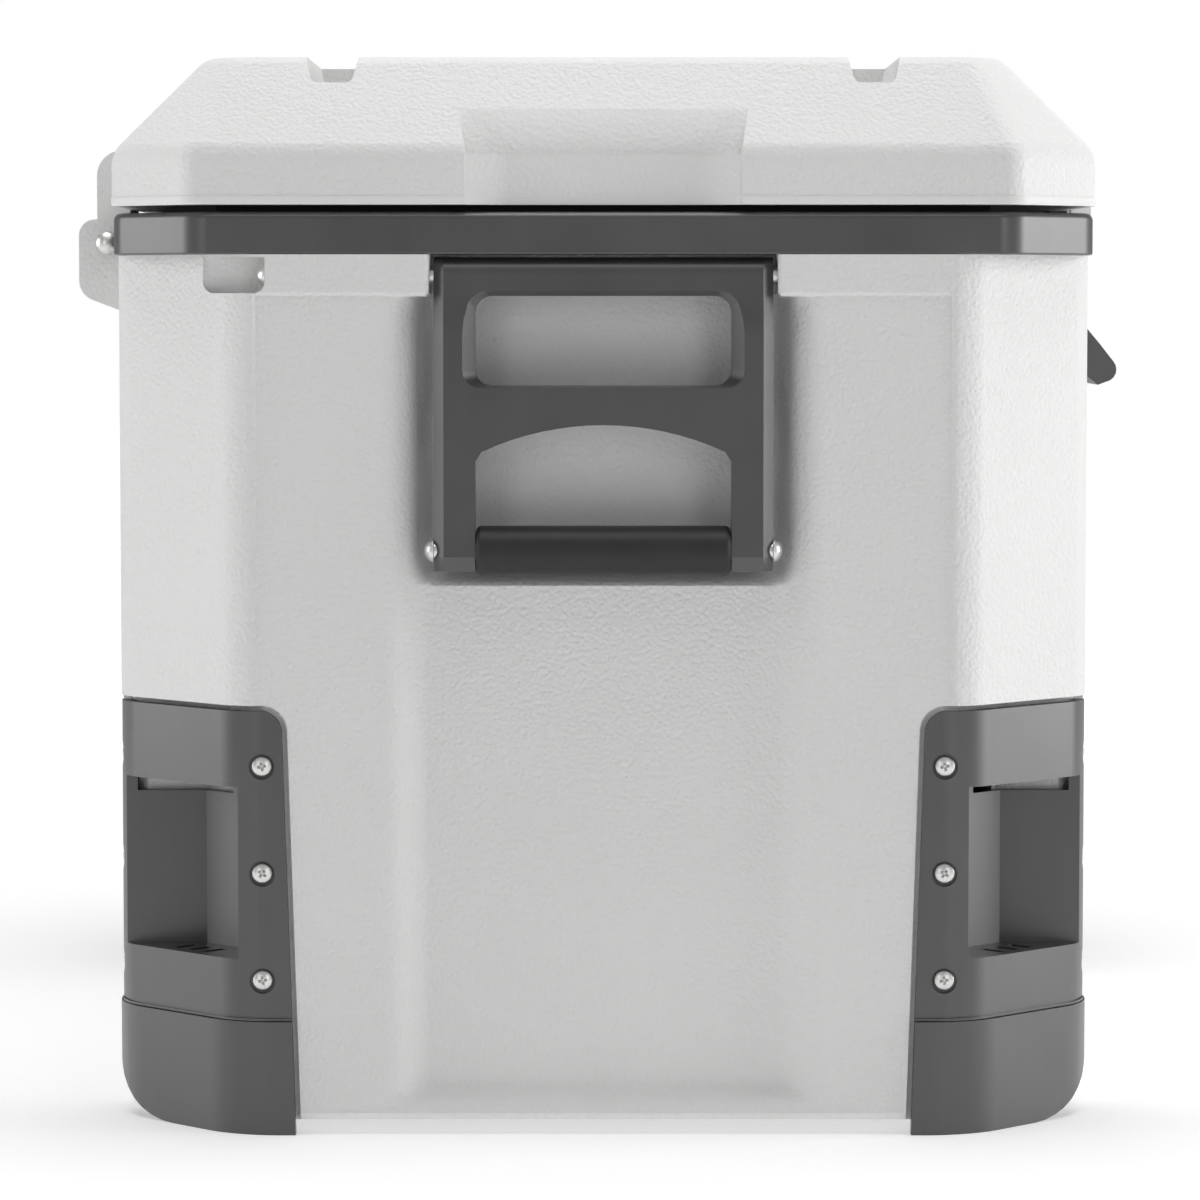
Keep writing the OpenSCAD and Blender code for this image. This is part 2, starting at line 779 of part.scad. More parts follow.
module lid_cuts(grow) {
    slope = lid_run / lid_rise;
    lift_top = skirt_top + lid_rise * 0.435;
    ledge = skirt_top - 1.8;
    foot = lid_half_length - lift_depth;
    side = lift_half_width + grow;
    for (my = [0, 1]) mirror([0, my, 0]) {
        // finger recess, low down: an upright face between two slanted sides, under a narrow ledge
        raised([[-side - 4, -far], [-side, 2 - lid_half_length], [lift_side - side, grow - foot - lift_ledge],
            [side - lift_side, grow - foot - lift_ledge], [side, 2 - lid_half_length], [side + 4, -far]], 0, lift_top);
        // above the ledge: a steep floor that runs out into the shoulder
        intersection() {
            along_y([[-side, ledge - grow], [side, ledge - grow], [side + lift_flare, lift_top + grow],
                [-side - lift_flare, lift_top + grow]], -far, 0);
            along_x([[-far, ledge - grow], [grow - foot, ledge - grow],
                [grow - lid_half_length + (lift_top - skirt_top) * slope, lift_top + grow], [-far, lift_top + grow]],
                -far, far);
        }
        // strap notches
        for (sx = [-1, 1]) along_y([[sx * notch_offset - notch_width / 2 - grow, lid_top + 1],
            [sx * notch_offset - notch_width / 2 + 3 - grow, lid_top - notch_depth - grow],
            [sx * notch_offset + notch_width / 2 - 3 + grow, lid_top - notch_depth - grow],
            [sx * notch_offset + notch_width / 2 + grow, lid_top + 1]],
            -far, notch_reach - half_length + grow);
    }
    both_y(latch_spacing / 2)
        block([latch_pin_x - 10.5 - grow, -mid - 0.5 - (grow > 0 ? ear_w : 0), 0],
            [far, mid + 0.5 + (grow > 0 ? ear_w : 0), skirt_top + 1.2 + grow]);
}

module knuckles() {
    kw = hinge_width - 2 * (lug_w + hinge_gap);
    in_x = -half_width - 0.8;
    out_x = hinge_x - knuckle_r;
    both_y(hinge_spacing / 2) {
        along_y(concat([[in_x + 3, lid_base], [in_x, lid_base], [in_x, hinge_z], [out_x, hinge_z]],
            arc(out_x + 12, knuckle_top - 12, 12, 180, 90), [[in_x + 3, knuckle_top]]), -kw / 2, kw / 2);
        rod_y(knuckle_r, -kw / 2, kw / 2, hinge_x, hinge_z);
    }
}

module latch_ears() {
    ear = [[lid_half_width - 1, lid_base - 2.2], [ear_out, lid_base - 2.2], [ear_out, skirt_top + 2],
        [ear_out - 7, skirt_top + 8.2], [lid_half_width - 8, skirt_top + 8.2], [lid_half_width - 8, skirt_top - 2],
        [lid_half_width - 1, skirt_top - 2]];
    both_y(latch_spacing / 2)
        for (y = [-mid - 0.5 - ear_w, mid + 0.5]) along_y(ear, y, y + ear_w);
}

module lid_shell() {
    color(white) difference() {
        union() {
            difference() {
                lid_block(0);
                difference() {
                    lid_block(shell_wall);
                    lid_cuts(shell_wall);
                }
                lid_cuts(0);
            }
            knuckles();
            latch_ears();
        }
        rod_y(hinge_rod_d / 2 + run, -half_length, half_length, hinge_x, hinge_z);
        rod_y(latch_pin_d / 2 + run, -(latch_spacing / 2 + mid + 6), latch_spacing / 2 + mid + 6,
            latch_pin_x, latch_pin_z);
    }
}

module lid_liner() {
    color(white) difference() {
        intersection() {
            lid_block(shell_wall + fit);
            raised(faceted(lid_half_width, lid_half_length, lid_facet, shell_wall + fit), lid_base,
                lid_base + liner_wall);
        }
        lid_cuts(shell_wall + fit);
    }
}

module lid_foam() {
    color(foam_colour) difference() {
        lid_block(shell_wall + fit);
        lid_cuts(shell_wall + fit);
        block([-far, -far, 0], [far, far, lid_base + liner_wall + fit]);
        rod_y(latch_pin_d / 2 + fit, -far, far, latch_pin_x, latch_pin_z);
    }
}

module lid_gasket() {
    color(black) difference() {
        raised(faceted(half_width, half_length, rim_facet, 22), rim_top + 0.3, lid_base);
        raised(faceted(half_width, half_length, rim_facet, 36), rim_top, lid_base + 1);
    }
}

module hinge_rod(sy) {
    l = hinge_width / 2;
    color(steel) translate([0, sy * hinge_spacing / 2, 0]) {
        rod_y(hinge_rod_d / 2, -l - 1, l + 1, hinge_x, hinge_z);
        for (s = [-1, 1]) translate([hinge_x, s * l, hinge_z]) rotate([-90 * s, 0, 0]) dome(5.25, 3);
    }
}

module hinge_rod_handle_end() hinge_rod(-1);
module hinge_rod_wheel_end() hinge_rod(1);

// ---------------------------------------------------------------- latches

// A lever hangs from its pin in the lid, lies in the tub's recess and flares out to a rounded tip
module latch_lever(sy) {
    elbow_z = body_top - 40.5;
    tip_x = -lug_out - 2.9;
    tip_z = body_top - 53.2;
    color(black) translate([0, sy * latch_spacing / 2, 0]) difference() {
        union() {
            along_y(concat([[lever_in, latch_pin_z], [lever_in, body_top - 28], [lever_in + 5, elbow_z - 5],
                [tip_x - 6, tip_z - 7.3]], arc(tip_x - 3, tip_z, 5.9, 280, 400, 6),
                [[half_width + 14, elbow_z], [lever_out, body_top - 22], [lever_out, latch_pin_z]]), -mid, mid);
            rod_y(7.5, -mid, mid, latch_pin_x, latch_pin_z);
        }
        rod_y(latch_pin_d / 2 + run, -far, far, latch_pin_x, latch_pin_z);
    }
}

module latch_pin(sy) {
    color(steel) translate([0, sy * latch_spacing / 2, 0])
        rod_y(latch_pin_d / 2, -mid - 5.8, mid + 5.8, latch_pin_x, latch_pin_z);
}

module keeper_holes(r) {
    for (y = [-9, 9]) rod_x(r, half_width - latch_recess - 12, half_width - latch_recess + 9, y, keeper_z - 6);
}

// A plate with a rounded bead that the lever's back rests against
module latch_keeper(sy) {
    x0 = half_width - latch_recess;
    color(dark) translate([0, sy * latch_spacing / 2, 0]) difference() {
        union() {
            block([x0, -keeper_w / 2, keeper_z - keeper_h / 2], [x0 + 1.5, keeper_w / 2, keeper_z + keeper_h / 2]);
            intersection() {
                rod_y(2.6, -keeper_w / 2, keeper_w / 2, x0, keeper_z + 5);
                block([x0, -far, 0], [far, far, far]);
            }
        }
        keeper_holes(shank_r + 0.1);
    }
}

module keeper_screws() {
    x0 = half_width - latch_recess + 1.5;
    color(steel) both_y(latch_spacing / 2) for (y = [-9, 9]) {
        rod_x(shank_r, x0 - 12, x0 + eps, y, keeper_z - 6);
        translate([x0, y, keeper_z - 6]) rotate([0, 90, 0]) dome(3.4, 1.1);
    }
}

module latch_lever_handle_end() latch_lever(-1);
module latch_lever_wheel_end() latch_lever(1);
module latch_pin_handle_end() latch_pin(-1);
module latch_pin_wheel_end() latch_pin(1);
module latch_keeper_handle_end() latch_keeper(-1);
module latch_keeper_wheel_end() latch_keeper(1);

// ---------------------------------------------------------------- drain

tube_r = drain_bore / 2 + 4;

module drain_fitting() {
    color(dark) difference() {
        union() {
            rod_y(tube_r, inner_half_length - 6, drain_seat + 12, 0, drain_z);
            rod_y(tube_r + 7, drain_seat + 1.5, drain_seat + 4.5, 0, drain_z);
        }
        rod_y(drain_bore / 2, 0, far, 0, drain_z);
    }
}

module drain_washer() {
    color(black) difference() {
        rod_y(tube_r + 6, drain_seat, drain_seat + 1.5, 0, drain_z);
        rod_y(tube_r + run, 0, far, 0, drain_z);
    }
}

module drain_nut() {
    color(dark) translate([0, inner_half_length, drain_z]) rotate([90, 0, 0]) difference() {
        cylinder(r = tube_r + 6, h = 5, $fn = 8);
        translate([0, 0, -1]) cylinder(r = tube_r + run, h = 9);
    }
}

// The plug only slides with the knob, which turns about its stem
module drain_plug() {
    r = drain_bore / 2;
    color(dark) {
        rod_y(r - 0.4, drain_seat + 4, drain_seat + 13, 0, drain_z);
        rod_y(4, drain_seat + 12, drain_seat + 23, 0, drain_z);
        translate([0, drain_seat + 22.5, drain_z]) rotate([-90, 0, 0]) dome(6, 2.5);
    }
}

module drain_seal() {
    r = drain_bore / 2;
    color(black) difference() {
        rod_y(r - 0.05, drain_seat + 5, drain_seat + 8, 0, drain_z);
        rod_y(r - 0.4, 0, far, 0, drain_z);
    }
}

module drain_knob() {
    r = tube_r + 5.5;
    color(dark) difference() {
        rod_y(r, drain_seat + 5, drain_seat + 22, 0, drain_z);
        rod_y(tube_r + 0.3, 0, drain_seat + 13.5, 0, drain_z);
        rod_y(4 + run, 0, far, 0, drain_z);
        for (a = [0:45:315]) translate([0, 0, drain_z]) rotate([0, a, 0]) rod_y(2.5, 0, far, r + 1, 0);
    }
}

outer_shell();
inner_liner();
insulation_foam();
rim_frame();
guard_front();
guard_rear();
foot_front();
foot_rear();
guard_screws();
wheel_housing_front();
wheel_housing_rear();
housing_screws();
axle_front();
axle_rear();
tyre_front();
tyre_rear();
hub_front();
hub_rear();
wheel_bush_front();
wheel_bush_rear();
handle_frame();
handle_grip();
grip_bolt();
handle_pivot_rod();
lid_shell();
lid_liner();
lid_foam();
lid_gasket();
hinge_rod_handle_end();
hinge_rod_wheel_end();
latch_lever_handle_end();
latch_lever_wheel_end();
latch_pin_handle_end();
latch_pin_wheel_end();
latch_keeper_handle_end();
latch_keeper_wheel_end();
keeper_screws();
drain_fitting();
drain_washer();
drain_nut();
drain_plug();
drain_seal();
drain_knob();
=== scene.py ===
"""Looks of a hard cooler on two wheels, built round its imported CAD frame.

The pieces follow one another as the cooler is put together: tub, rim, corner guards, wheels,
tow handle, lid, hinges, latches and drain. Shapes are drawn in millimetres and shown in metres.
"""
import math

import bmesh
import bpy
from mathutils import Matrix, Vector


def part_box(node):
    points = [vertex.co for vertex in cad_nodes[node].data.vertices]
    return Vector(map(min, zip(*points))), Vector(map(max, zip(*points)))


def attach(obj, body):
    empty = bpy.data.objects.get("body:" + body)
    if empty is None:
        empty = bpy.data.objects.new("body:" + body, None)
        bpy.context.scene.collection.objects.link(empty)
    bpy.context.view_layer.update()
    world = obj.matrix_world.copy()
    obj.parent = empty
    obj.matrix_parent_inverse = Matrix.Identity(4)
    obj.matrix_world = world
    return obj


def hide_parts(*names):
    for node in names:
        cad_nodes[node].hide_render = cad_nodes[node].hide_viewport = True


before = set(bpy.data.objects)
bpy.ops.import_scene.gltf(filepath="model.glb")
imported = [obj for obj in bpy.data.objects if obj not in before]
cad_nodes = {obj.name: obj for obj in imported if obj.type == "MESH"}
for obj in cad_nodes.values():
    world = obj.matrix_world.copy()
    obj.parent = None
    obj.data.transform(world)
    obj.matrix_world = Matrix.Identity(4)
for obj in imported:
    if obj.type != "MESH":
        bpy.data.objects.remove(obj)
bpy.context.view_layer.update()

# ---------------------------------------------------------------- tub shell
# The tub's outside is one hollow rotationally moulded shell of white polyethylene, 4 mm thick,
# with a pebbled skin. Handle bay, channel, hinge lugs and corner notches are moulded into it.

MM = 0.001


def box(node):
    """Lowest and highest corner of a CAD node, in millimetres."""
    low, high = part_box(node)
    return low / MM, high / MM


def prism(outline, axis, low, high):
    """An outline drawn across an axis and run along it, as a closed bmesh."""
    place = {"X": lambda a, b, t: (t, a, b), "Y": lambda a, b, t: (a, t, b),
             "Z": lambda a, b, t: (a, b, t)}[axis]
    bm = bmesh.new()
    face = bm.faces.new([bm.verts.new(place(a, b, low)) for a, b in outline])
    run = bmesh.ops.extrude_face_region(bm, geom=[face])["geom"]
    bmesh.ops.translate(bm, verts=[v for v in run if isinstance(v, bmesh.types.BMVert)],
                        vec=place(0, 0, high - low))
    bmesh.ops.recalc_face_normals(bm, faces=bm.faces)
    return bm


def block(low, high):
    """A box between two corners."""
    plan = [(low[0], low[1]), (high[0], low[1]), (high[0], high[1]), (low[0], high[1])]
    return prism(plan, "Z", low[2], high[2])


def rod(axis, radius, low, high, across, sides=48):
    """A round rod along an axis; across gives its place in the other two directions."""
    ring = [(across[0] + radius * math.cos(2 * math.pi * i / sides),
             across[1] + radius * math.sin(2 * math.pi * i / sides)) for i in range(sides)]
    return prism(ring, axis, low, high)


def arc(centre, radius, start, end, steps=8):
    """Points along an arc, angles in degrees."""
    turns = [math.radians(start + (end - start) * i / steps) for i in range(steps + 1)]
    return [(centre[0] + radius * math.cos(a), centre[1] + radius * math.sin(a)) for a in turns]


def faceted(width, length, facet):
    """A rectangle of half sizes width and length with 45 degree corners, seen from above."""
    w, l, c = width, length, facet
    return [(c - w, -l), (w - c, -l), (w, c - l), (w, l - c),
            (w - c, l), (c - w, l), (-w, l - c), (-w, c - l)]


def round_edges(bm, radius, steps, pick):
    """Rounds the edges that pick chooses."""
    bmesh.ops.bevel(bm, geom=[e for e in bm.edges if pick(e)], offset=radius, offset_type="OFFSET",
                    affect="EDGES", segments=steps, profile=0.5, clamp_overlap=True, material=-1)


def upright(edge):
    way = edge.verts[0].co - edge.verts[1].co
    return abs(way.x) < 0.01 and abs(way.y) < 0.01


def level_at(z):
    return lambda edge: all(abs(v.co.z - z) < 0.01 for v in edge.verts)


def as_object(bm, name):
    mesh = bpy.data.meshes.new(name)
    bm.to_mesh(mesh)
    bm.free()
    thing = bpy.data.objects.new(name, mesh)
    bpy.context.scene.collection.objects.link(thing)
    return thing


def boolean(bm, tools, operation="DIFFERENCE"):
    """Cuts, joins or crosses a closed bmesh with others, one after another."""
    base = as_object(bm, "base")
    used = [base]
    for tool in tools:
        used.append(as_object(tool, "tool"))
        step = base.modifiers.new("step", "BOOLEAN")
        step.operation = operation
        step.solver = "EXACT"
        step.object = used[-1]
    shape = base.evaluated_get(bpy.context.evaluated_depsgraph_get())
    result = bmesh.new()
    result.from_mesh(shape.to_mesh())
    shape.to_mesh_clear()
    for thing in used:
        bpy.data.meshes.remove(thing.data)
    return result


def merge_flats(bm, angle=0.03):
    """Joins faces that lie flat beside one another, so that a bevel has whole faces to work on."""
    bmesh.ops.remove_doubles(bm, verts=bm.verts, dist=0.004)
    bmesh.ops.dissolve_limit(bm, angle_limit=math.radians(angle), verts=bm.verts, edges=bm.edges)


def mirrored(bm, axis):
    """The same shape on the other side of the object."""
    flip = Matrix.Scale(-1, 4, Vector([1 if c == axis else 0 for c in "XYZ"]))
    other = bm.copy()
    bmesh.ops.transform(other, matrix=flip, verts=other.verts)
    bmesh.ops.reverse_faces(other, faces=other.faces)
    return other


def join(parts):
    """Several closed shapes as one bmesh."""
    whole = bmesh.new()
    for part in parts:
        mesh = bpy.data.meshes.new("part")
        part.to_mesh(mesh)
        part.free()
        whole.from_mesh(mesh)
        bpy.data.meshes.remove(mesh)
    return whole


def show(bm, name, material, edge=0.0, steps=3, angle=32):
    """Puts a finished shape in the scene in metres, with its small edges rounded."""
    bmesh.ops.scale(bm, vec=(MM, MM, MM), verts=bm.verts)
    for face in bm.faces:
        face.smooth = True
    thing = as_object(bm, name)
    thing.data.materials.append(material)
    if edge:
        soft = thing.modifiers.new("soft edges", "BEVEL")
        soft.width = edge * MM
        soft.segments = steps
        soft.limit_method = "ANGLE"
        soft.angle_limit = math.radians(angle)
        soft.use_clamp_overlap = True
    flat = thing.modifiers.new("even faces", "WEIGHTED_NORMAL")
    flat.weight = 100
    return thing


rim_low, rim_high = box("rim_frame")
half_width, half_length = rim_high.x, rim_high.y
ground_gap = box("outer_shell")[0].z
body_top = rim_low.z
corner_facet = 58
shell_wall = 4
body_blend = 9
inner_half_width = half_width - 50
inner_half_length = half_length - 50
inner_facet = 38

# The handle end: a wide channel with soft sides, and the deeper bay that the handle folds into
bay_half, bay_flare, bay_depth = 75.5, 15.5, 28
bay_foot, bay_floor = 240, 258
channel_half, channel_flare, channel_depth = 77, 22.5, 10
channel_foot, channel_rise = 12, 10
lug_half, lug_foot, lug_round = 77, 374.8, 3


def soft_step(t):
    t = min(max(t, 0), 1)
    return t * t * t * (t * (6 * t - 15) + 10)


def end_depth(x, z):
    """How far the end wall lies behind the tub's flat end at one place."""
    side = abs(x)
    channel = channel_depth * (1 - soft_step((side - channel_half) / channel_flare))
    channel *= soft_step((z - channel_foot) / channel_rise)
    bay = bay_depth * (1 - soft_step((side - bay_half) / bay_flare))
    bay *= soft_step((z - bay_foot) / (bay_floor - bay_foot))
    near = max(4 - abs(channel - bay), 0) / 4
    depth = min(max(channel, bay) + near * near, bay_depth)
    if z < lug_foot:
        return depth
    if side < lug_half:
        return bay_depth
    a = max(lug_half + lug_round - side, 0)
    b = max(lug_foot + lug_round - z, 0)
    reach = math.hypot(a, b)
    if reach > lug_round:
        return depth
    return min(lug_round - math.sqrt(lug_round ** 2 - reach ** 2), depth)


tub = prism(faceted(half_width, half_length, corner_facet), "Z", ground_gap, body_top)
round_edges(tub, body_blend, 8, upright)
round_edges(tub, 6, 4, level_at(ground_gap))

# Extra edges across that end, close together where its depth changes
side_cuts = [74 + 1.75 * i for i in range(17)] + [lug_half - 0.02]
side_cuts += [lug_half + lug_round * i / 6 for i in range(7)]
level_cuts = [channel_foot + channel_rise * i / 6 for i in range(7)]
level_cuts += [bay_foot - 4 + 2 * i for i in range(13)]
level_cuts += [lug_foot - 0.02] + [lug_foot + lug_round * i / 6 for i in range(7)]
cuts = [((s * x, 0, 0), (1, 0, 0)) for x in side_cuts for s in (-1, 1)]
cuts += [((0, 0, z), (0, 0, 1)) for z in level_cuts]
for place, way in cuts:
    end_faces = [f for f in tub.faces if all(v.co.y < 0.001 - half_length for v in f.verts)]
    end_edges = {e for f in end_faces for e in f.edges}
    end_points = {v for f in end_faces for v in f.verts}
    bmesh.ops.bisect_plane(tub, geom=end_faces + list(end_edges) + list(end_points), dist=0.001,
                           plane_co=place, plane_no=way)
for vert in tub.verts:
    if vert.co.y < 0.001 - half_length:
        vert.co.y += end_depth(vert.co.x, vert.co.z)

# The guards' notches, drawn at the corner of the hinge side and the handle end and then mirrored
guard_top = 190.7
guard_wall = 5
flange_top_w, flange_foot_w = 77.8, 83.9
band_gap = 2.2
pocket_back_wall = 62.5
strap_space = 7


def corner_plan(plan):
    return [(a - half_width, b - half_length) for a, b in plan]


def band_plan(depth, wall):
    """The two flat flanges and the 45 degree band between them, seen from above."""
    b = corner_facet + depth * math.sqrt(2)
    return [(-9, -9), (200, -9), (200, wall), (b - wall, wall), (wall, b - wall), (wall, 200), (-9, 200)]


def pocket_plan(grow):
    """The space taken by the tie-down pocket and its walls, seen from above."""
    d = pocket_back_wall + grow
    s = 97.5 + (4.5 + grow) * math.sqrt(2) - d
    t = guard_wall + grow
    return [(-9, -9), (200, -9), (200, t), (d, t), (d, s), (s, d), (t, d), (t, 200), (-9, 200)]


def span(axis, foot_w, top_w, top, corner_round):
    """The leaning inner edge of a guard, seen on one face, with its top corner rounded."""
    start = -half_width if axis == "Y" else -half_length
    outline = [(start - 9, -1), (start + foot_w, -1), (start + top_w, top), (start - 9, top)]
    low, high = (-half_length - 9, 0) if axis == "Y" else (-half_width - 9, 0)
    shape = prism(outline, axis, low, high)
    if corner_round:
        inner, across = start + top_w, 0 if axis == "Y" else 1
        round_edges(shape, corner_round, 8, lambda e: all(
            abs(v.co[across] - inner) < 0.01 and abs(v.co.z - top) < 0.01 for v in e.verts))
    return shape


def corner_shape(plan, low, high, grow, side_w, corner_round):
    """A plan raised and trimmed to the guard's leaning edges on both faces."""
    shape = prism(corner_plan(plan), "Z", low, high)
    foot_w, top_w = (side_w or flange_foot_w) + grow, (side_w or flange_top_w) + grow
    edges = [span(axis, foot_w, top_w, guard_top + grow, corner_round) for axis in "YX"]
    return boolean(shape, edges, "INTERSECT")


notch = corner_shape(band_plan(guard_wall + strap_space, guard_wall), -1, guard_top + 9, band_gap, 0, 11)
notch = boolean(notch, [corner_shape(pocket_plan(0), -1, 160.8, band_gap, 0, 0)], "UNION")
notches = [notch, mirrored(notch, "X")]

# The wheel wells and their housings' seats at the other two corners. A seat is as wide on the
# end face as on the long side, wider than the housing there, and leaves some foam in view.
wheel_r, wheel_half = 75, 22.5
axle_y = half_length + 8 - wheel_r
well_depth = 56.5
well_length = half_length - axle_y + (wheel_r + 8)
well_roof = 158
housing_side = well_length + guard_wall + 22
well = corner_shape(band_plan(guard_wall, guard_wall), -1, guard_top + 9, band_gap, housing_side, 11)
well = boolean(well, [block((-half_width - 9, -half_length - 9, -3), (well_depth + guard_wall - half_width,
               well_length + guard_wall - half_length, well_roof + guard_wall))], "UNION")
well = boolean(well, [rod("X", 14.2, -half_width + 50, -half_width + well_depth + guard_wall + 12.2,
               (-axle_y, wheel_r))], "UNION")
wells = [mirrored(well, "Y")]
wells.append(mirrored(wells[0], "X"))
well.free()

# Recesses: the pivot rod's pocket, the latches, the drain and the sloped toe under the wheel end
pivot_y, pivot_z = -342, 384.6
rod_pocket = block((-178.7, -half_length - 1, pivot_z - 8), (-150.2, pivot_y + 8, pivot_z + 8))
round_edges(rod_pocket, 5, 5, lambda e: all(v.co.x < -178 and v.co.z < pivot_z for v in e.verts)
            or all(v.co.x > -151 and v.co.z < pivot_z for v in e.verts))
latch_y = 180
recess_half, recess_depth = 29, 12.5
latch_recess = []
for y in (-latch_y, latch_y):
    recess = block((half_width - recess_depth, y - recess_half, body_top - 66),
                   (half_width + 9, y + recess_half, body_top + 9))
    round_edges(recess, 6, 5, lambda e: all(v.co.x < half_width for v in e.verts)
                and (upright(e) or all(v.co.z < body_top for v in e.verts)))
    latch_recess.append(recess)
drain_seat, drain_z = 330, 88
drain_pocket = block((-30, drain_seat, drain_z - 28), (30, half_length + 9, drain_z + 28))
round_edges(drain_pocket, 7, 5, lambda e: abs(e.verts[0].co.y - e.verts[1].co.y) > 1
            or all(v.co.y < drain_seat + 1 for v in e.verts))
toe = 45
toe_cut = prism([(half_length - toe - 20, ground_gap - 20), (half_length + 20, ground_gap - 20),
                 (half_length + 20, ground_gap + toe + 20)], "X", -300, 300)

# Bores through the shell for the pivot rod and the drain tube
rod_bore, bolt_bore, drain_bore = 3.55, 4.05, 13.05
bores = [rod("X", rod_bore, -153, 118, (pivot_y, pivot_z)), rod("Y", drain_bore, 200, 400, (0, drain_z))]
tub = boolean(tub, notches + wells + [rod_pocket, drain_pocket, toe_cut] + latch_recess + bores)
merge_flats(tub)

# The cavity that the liner drops into
floor_z, space = 64, 3.2
cavity = prism(faceted(inner_half_width + space, inner_half_length + space, inner_facet + 2), "Z",
               floor_z - space, body_top + 9)
tub = boolean(tub, [cavity])

# Two lugs for each hinge, with the bore for its rod
hinge_x, hinge_z = -half_width - 9.4, body_top + 6.1
hinge_y, hinge_half, lug_w = 200, 45, 24
lug_out, lug_top = hinge_x - 13, hinge_z + 11.1
lug_outline = [(2 - half_width, body_top - 27.2), (lug_out, body_top - 17.8)]
lug_outline += arc((lug_out + 7.5, lug_top - 7.5), 7.5, 180, 90)
lug_outline += [(-half_width - 0.3, lug_top), (-half_width - 0.3, body_top), (2 - half_width, body_top)]
lugs = [prism(lug_outline, "Y", y + start, y + start + lug_w)
        for y in (-hinge_y, hinge_y) for start in (-hinge_half, hinge_half - lug_w)]
for lug in lugs:
    round_edges(lug, 6, 5, lambda e: all(abs(v.co.x - lug_out) < 0.01 and v.co.z < body_top - 17
                                         for v in e.verts))
tub = boolean(tub, lugs, "UNION")
tub = boolean(tub, [rod("Y", bolt_bore, -300, 300, (hinge_x, hinge_z))])
merge_flats(tub)


def new_group(name, inputs, outputs):
    """An empty shader node group with its sockets, and its own input and output nodes."""
    tree = bpy.data.node_groups.new(name, "ShaderNodeTree")
    for label, kind, value in inputs:
        socket = tree.interface.new_socket(label, in_out="INPUT", socket_type="NodeSocket" + kind)
        if value is not None:
            socket.default_value = value
    for label, kind in outputs:
        tree.interface.new_socket(label, in_out="OUTPUT", socket_type="NodeSocket" + kind)
    return tree, tree.nodes.new("NodeGroupInput"), tree.nodes.new("NodeGroupOutput")


def add_node(tree, kind, settings=(), inputs=()):
    """A node with its settings made and its sockets set or linked."""
    made = tree.nodes.new("ShaderNode" + kind)
    for name, value in dict(settings).items():
        setattr(made, name, value)
    for name, value in dict(inputs).items():
        if isinstance(value, bpy.types.NodeSocket):
            tree.links.new(value, made.inputs[name])
        else:
            made.inputs[name].default_value = value
    return made


def maths(tree, operation, a, b=0.0, clamp=False):
    return add_node(tree, "Math", {"operation": operation, "use_clamp": clamp}, {0: a, 1: b}).outputs[0]


def noise(tree, where, scale, detail):
    """Fine or broad noise over a piece, as a mask."""
    return add_node(tree, "TexNoise", {}, {"Vector": where, "Scale": scale, "Detail": detail}).outputs["Fac"]


# Pebbled mould skin: rounded grains with fine grit between them, and none below a smooth lip
pebbled_skin, given, told = new_group(
    "pebbled_skin",
    [("Vector", "Vector", None), ("Grain size", "Float", 0.0018), ("Smooth below", "Float", 0.0)],
    [("Height", "Float"), ("Tint", "Float")])
place = given.outputs["Vector"]
pitch = maths(pebbled_skin, "DIVIDE", 1.0, given.outputs["Grain size"])
warp = add_node(pebbled_skin, "TexNoise", {}, {"Vector": place, "Scale": 260.0, "Detail": 2.0})
bent = add_node(pebbled_skin, "VectorMath", {"operation": "MULTIPLY_ADD"},
                {0: warp.outputs["Color"], 1: (0.0012,) * 3, 2: place})
grains = add_node(pebbled_skin, "TexVoronoi", {"feature": "SMOOTH_F1"},
                  {"Vector": bent.outputs[0], "Scale": pitch, "Smoothness": 0.8, "Randomness": 1.0})
dome = maths(pebbled_skin, "MULTIPLY", grains.outputs["Distance"], -1.0)
grit = noise(pebbled_skin, place, 1500.0, 3.0)
rough = maths(pebbled_skin, "ADD", dome, maths(pebbled_skin, "MULTIPLY", grit, 0.35))
height = add_node(pebbled_skin, "SeparateXYZ", {}, {0: place}).outputs["Z"]
above = maths(pebbled_skin, "SUBTRACT", height, given.outputs["Smooth below"])
mask = maths(pebbled_skin, "MULTIPLY", above, 1500.0, clamp=True)
pebbled_skin.links.new(maths(pebbled_skin, "MULTIPLY", rough, mask), told.inputs["Height"])
pebbled_skin.links.new(noise(pebbled_skin, place, 9.0, 4.0), told.inputs["Tint"])


def new_material(name, metallic=0.0, specular=0.5):
    """A material with its Principled shader, its tree and its Object coordinates."""
    material = bpy.data.materials.new(name)
    material.use_nodes = True
    tree = material.node_tree
    shader = tree.nodes["Principled BSDF"]
    shader.inputs["Metallic"].default_value = metallic
    shader.inputs["Specular IOR Level"].default_value = specular
    where = tree.nodes.new("ShaderNodeTexCoord").outputs["Object"]
    return material, tree, shader, where


def vary(tree, mask, low, high, start=0.2, end=0.8):
    """A value that runs from low to high while a mask runs from start to end."""
    limits = {"From Min": start, "From Max": end, "To Min": low, "To Max": high}
    made = add_node(tree, "MapRange", {"interpolation_type": "SMOOTHSTEP"}, {"Value": mask, **limits})
    return made.outputs["Result"]


def tint(tree, mask, dark, light):
    """A colour between two greys or hues that follows a mask."""
    mix = add_node(tree, "Mix", {"data_type": "RGBA"}, {"Factor": vary(tree, mask, 0.0, 1.0)})
    mix.inputs[6].default_value = (*dark, 1)
    mix.inputs[7].default_value = (*light, 1)
    return mix.outputs[2]


def paint(tree, shader, mask, dark, light, smooth, rough):
    """Colour and roughness that follow one mask."""
    tree.links.new(tint(tree, mask, dark, light), shader.inputs["Base Color"])
    tree.links.new(vary(tree, mask, smooth, rough), shader.inputs["Roughness"])


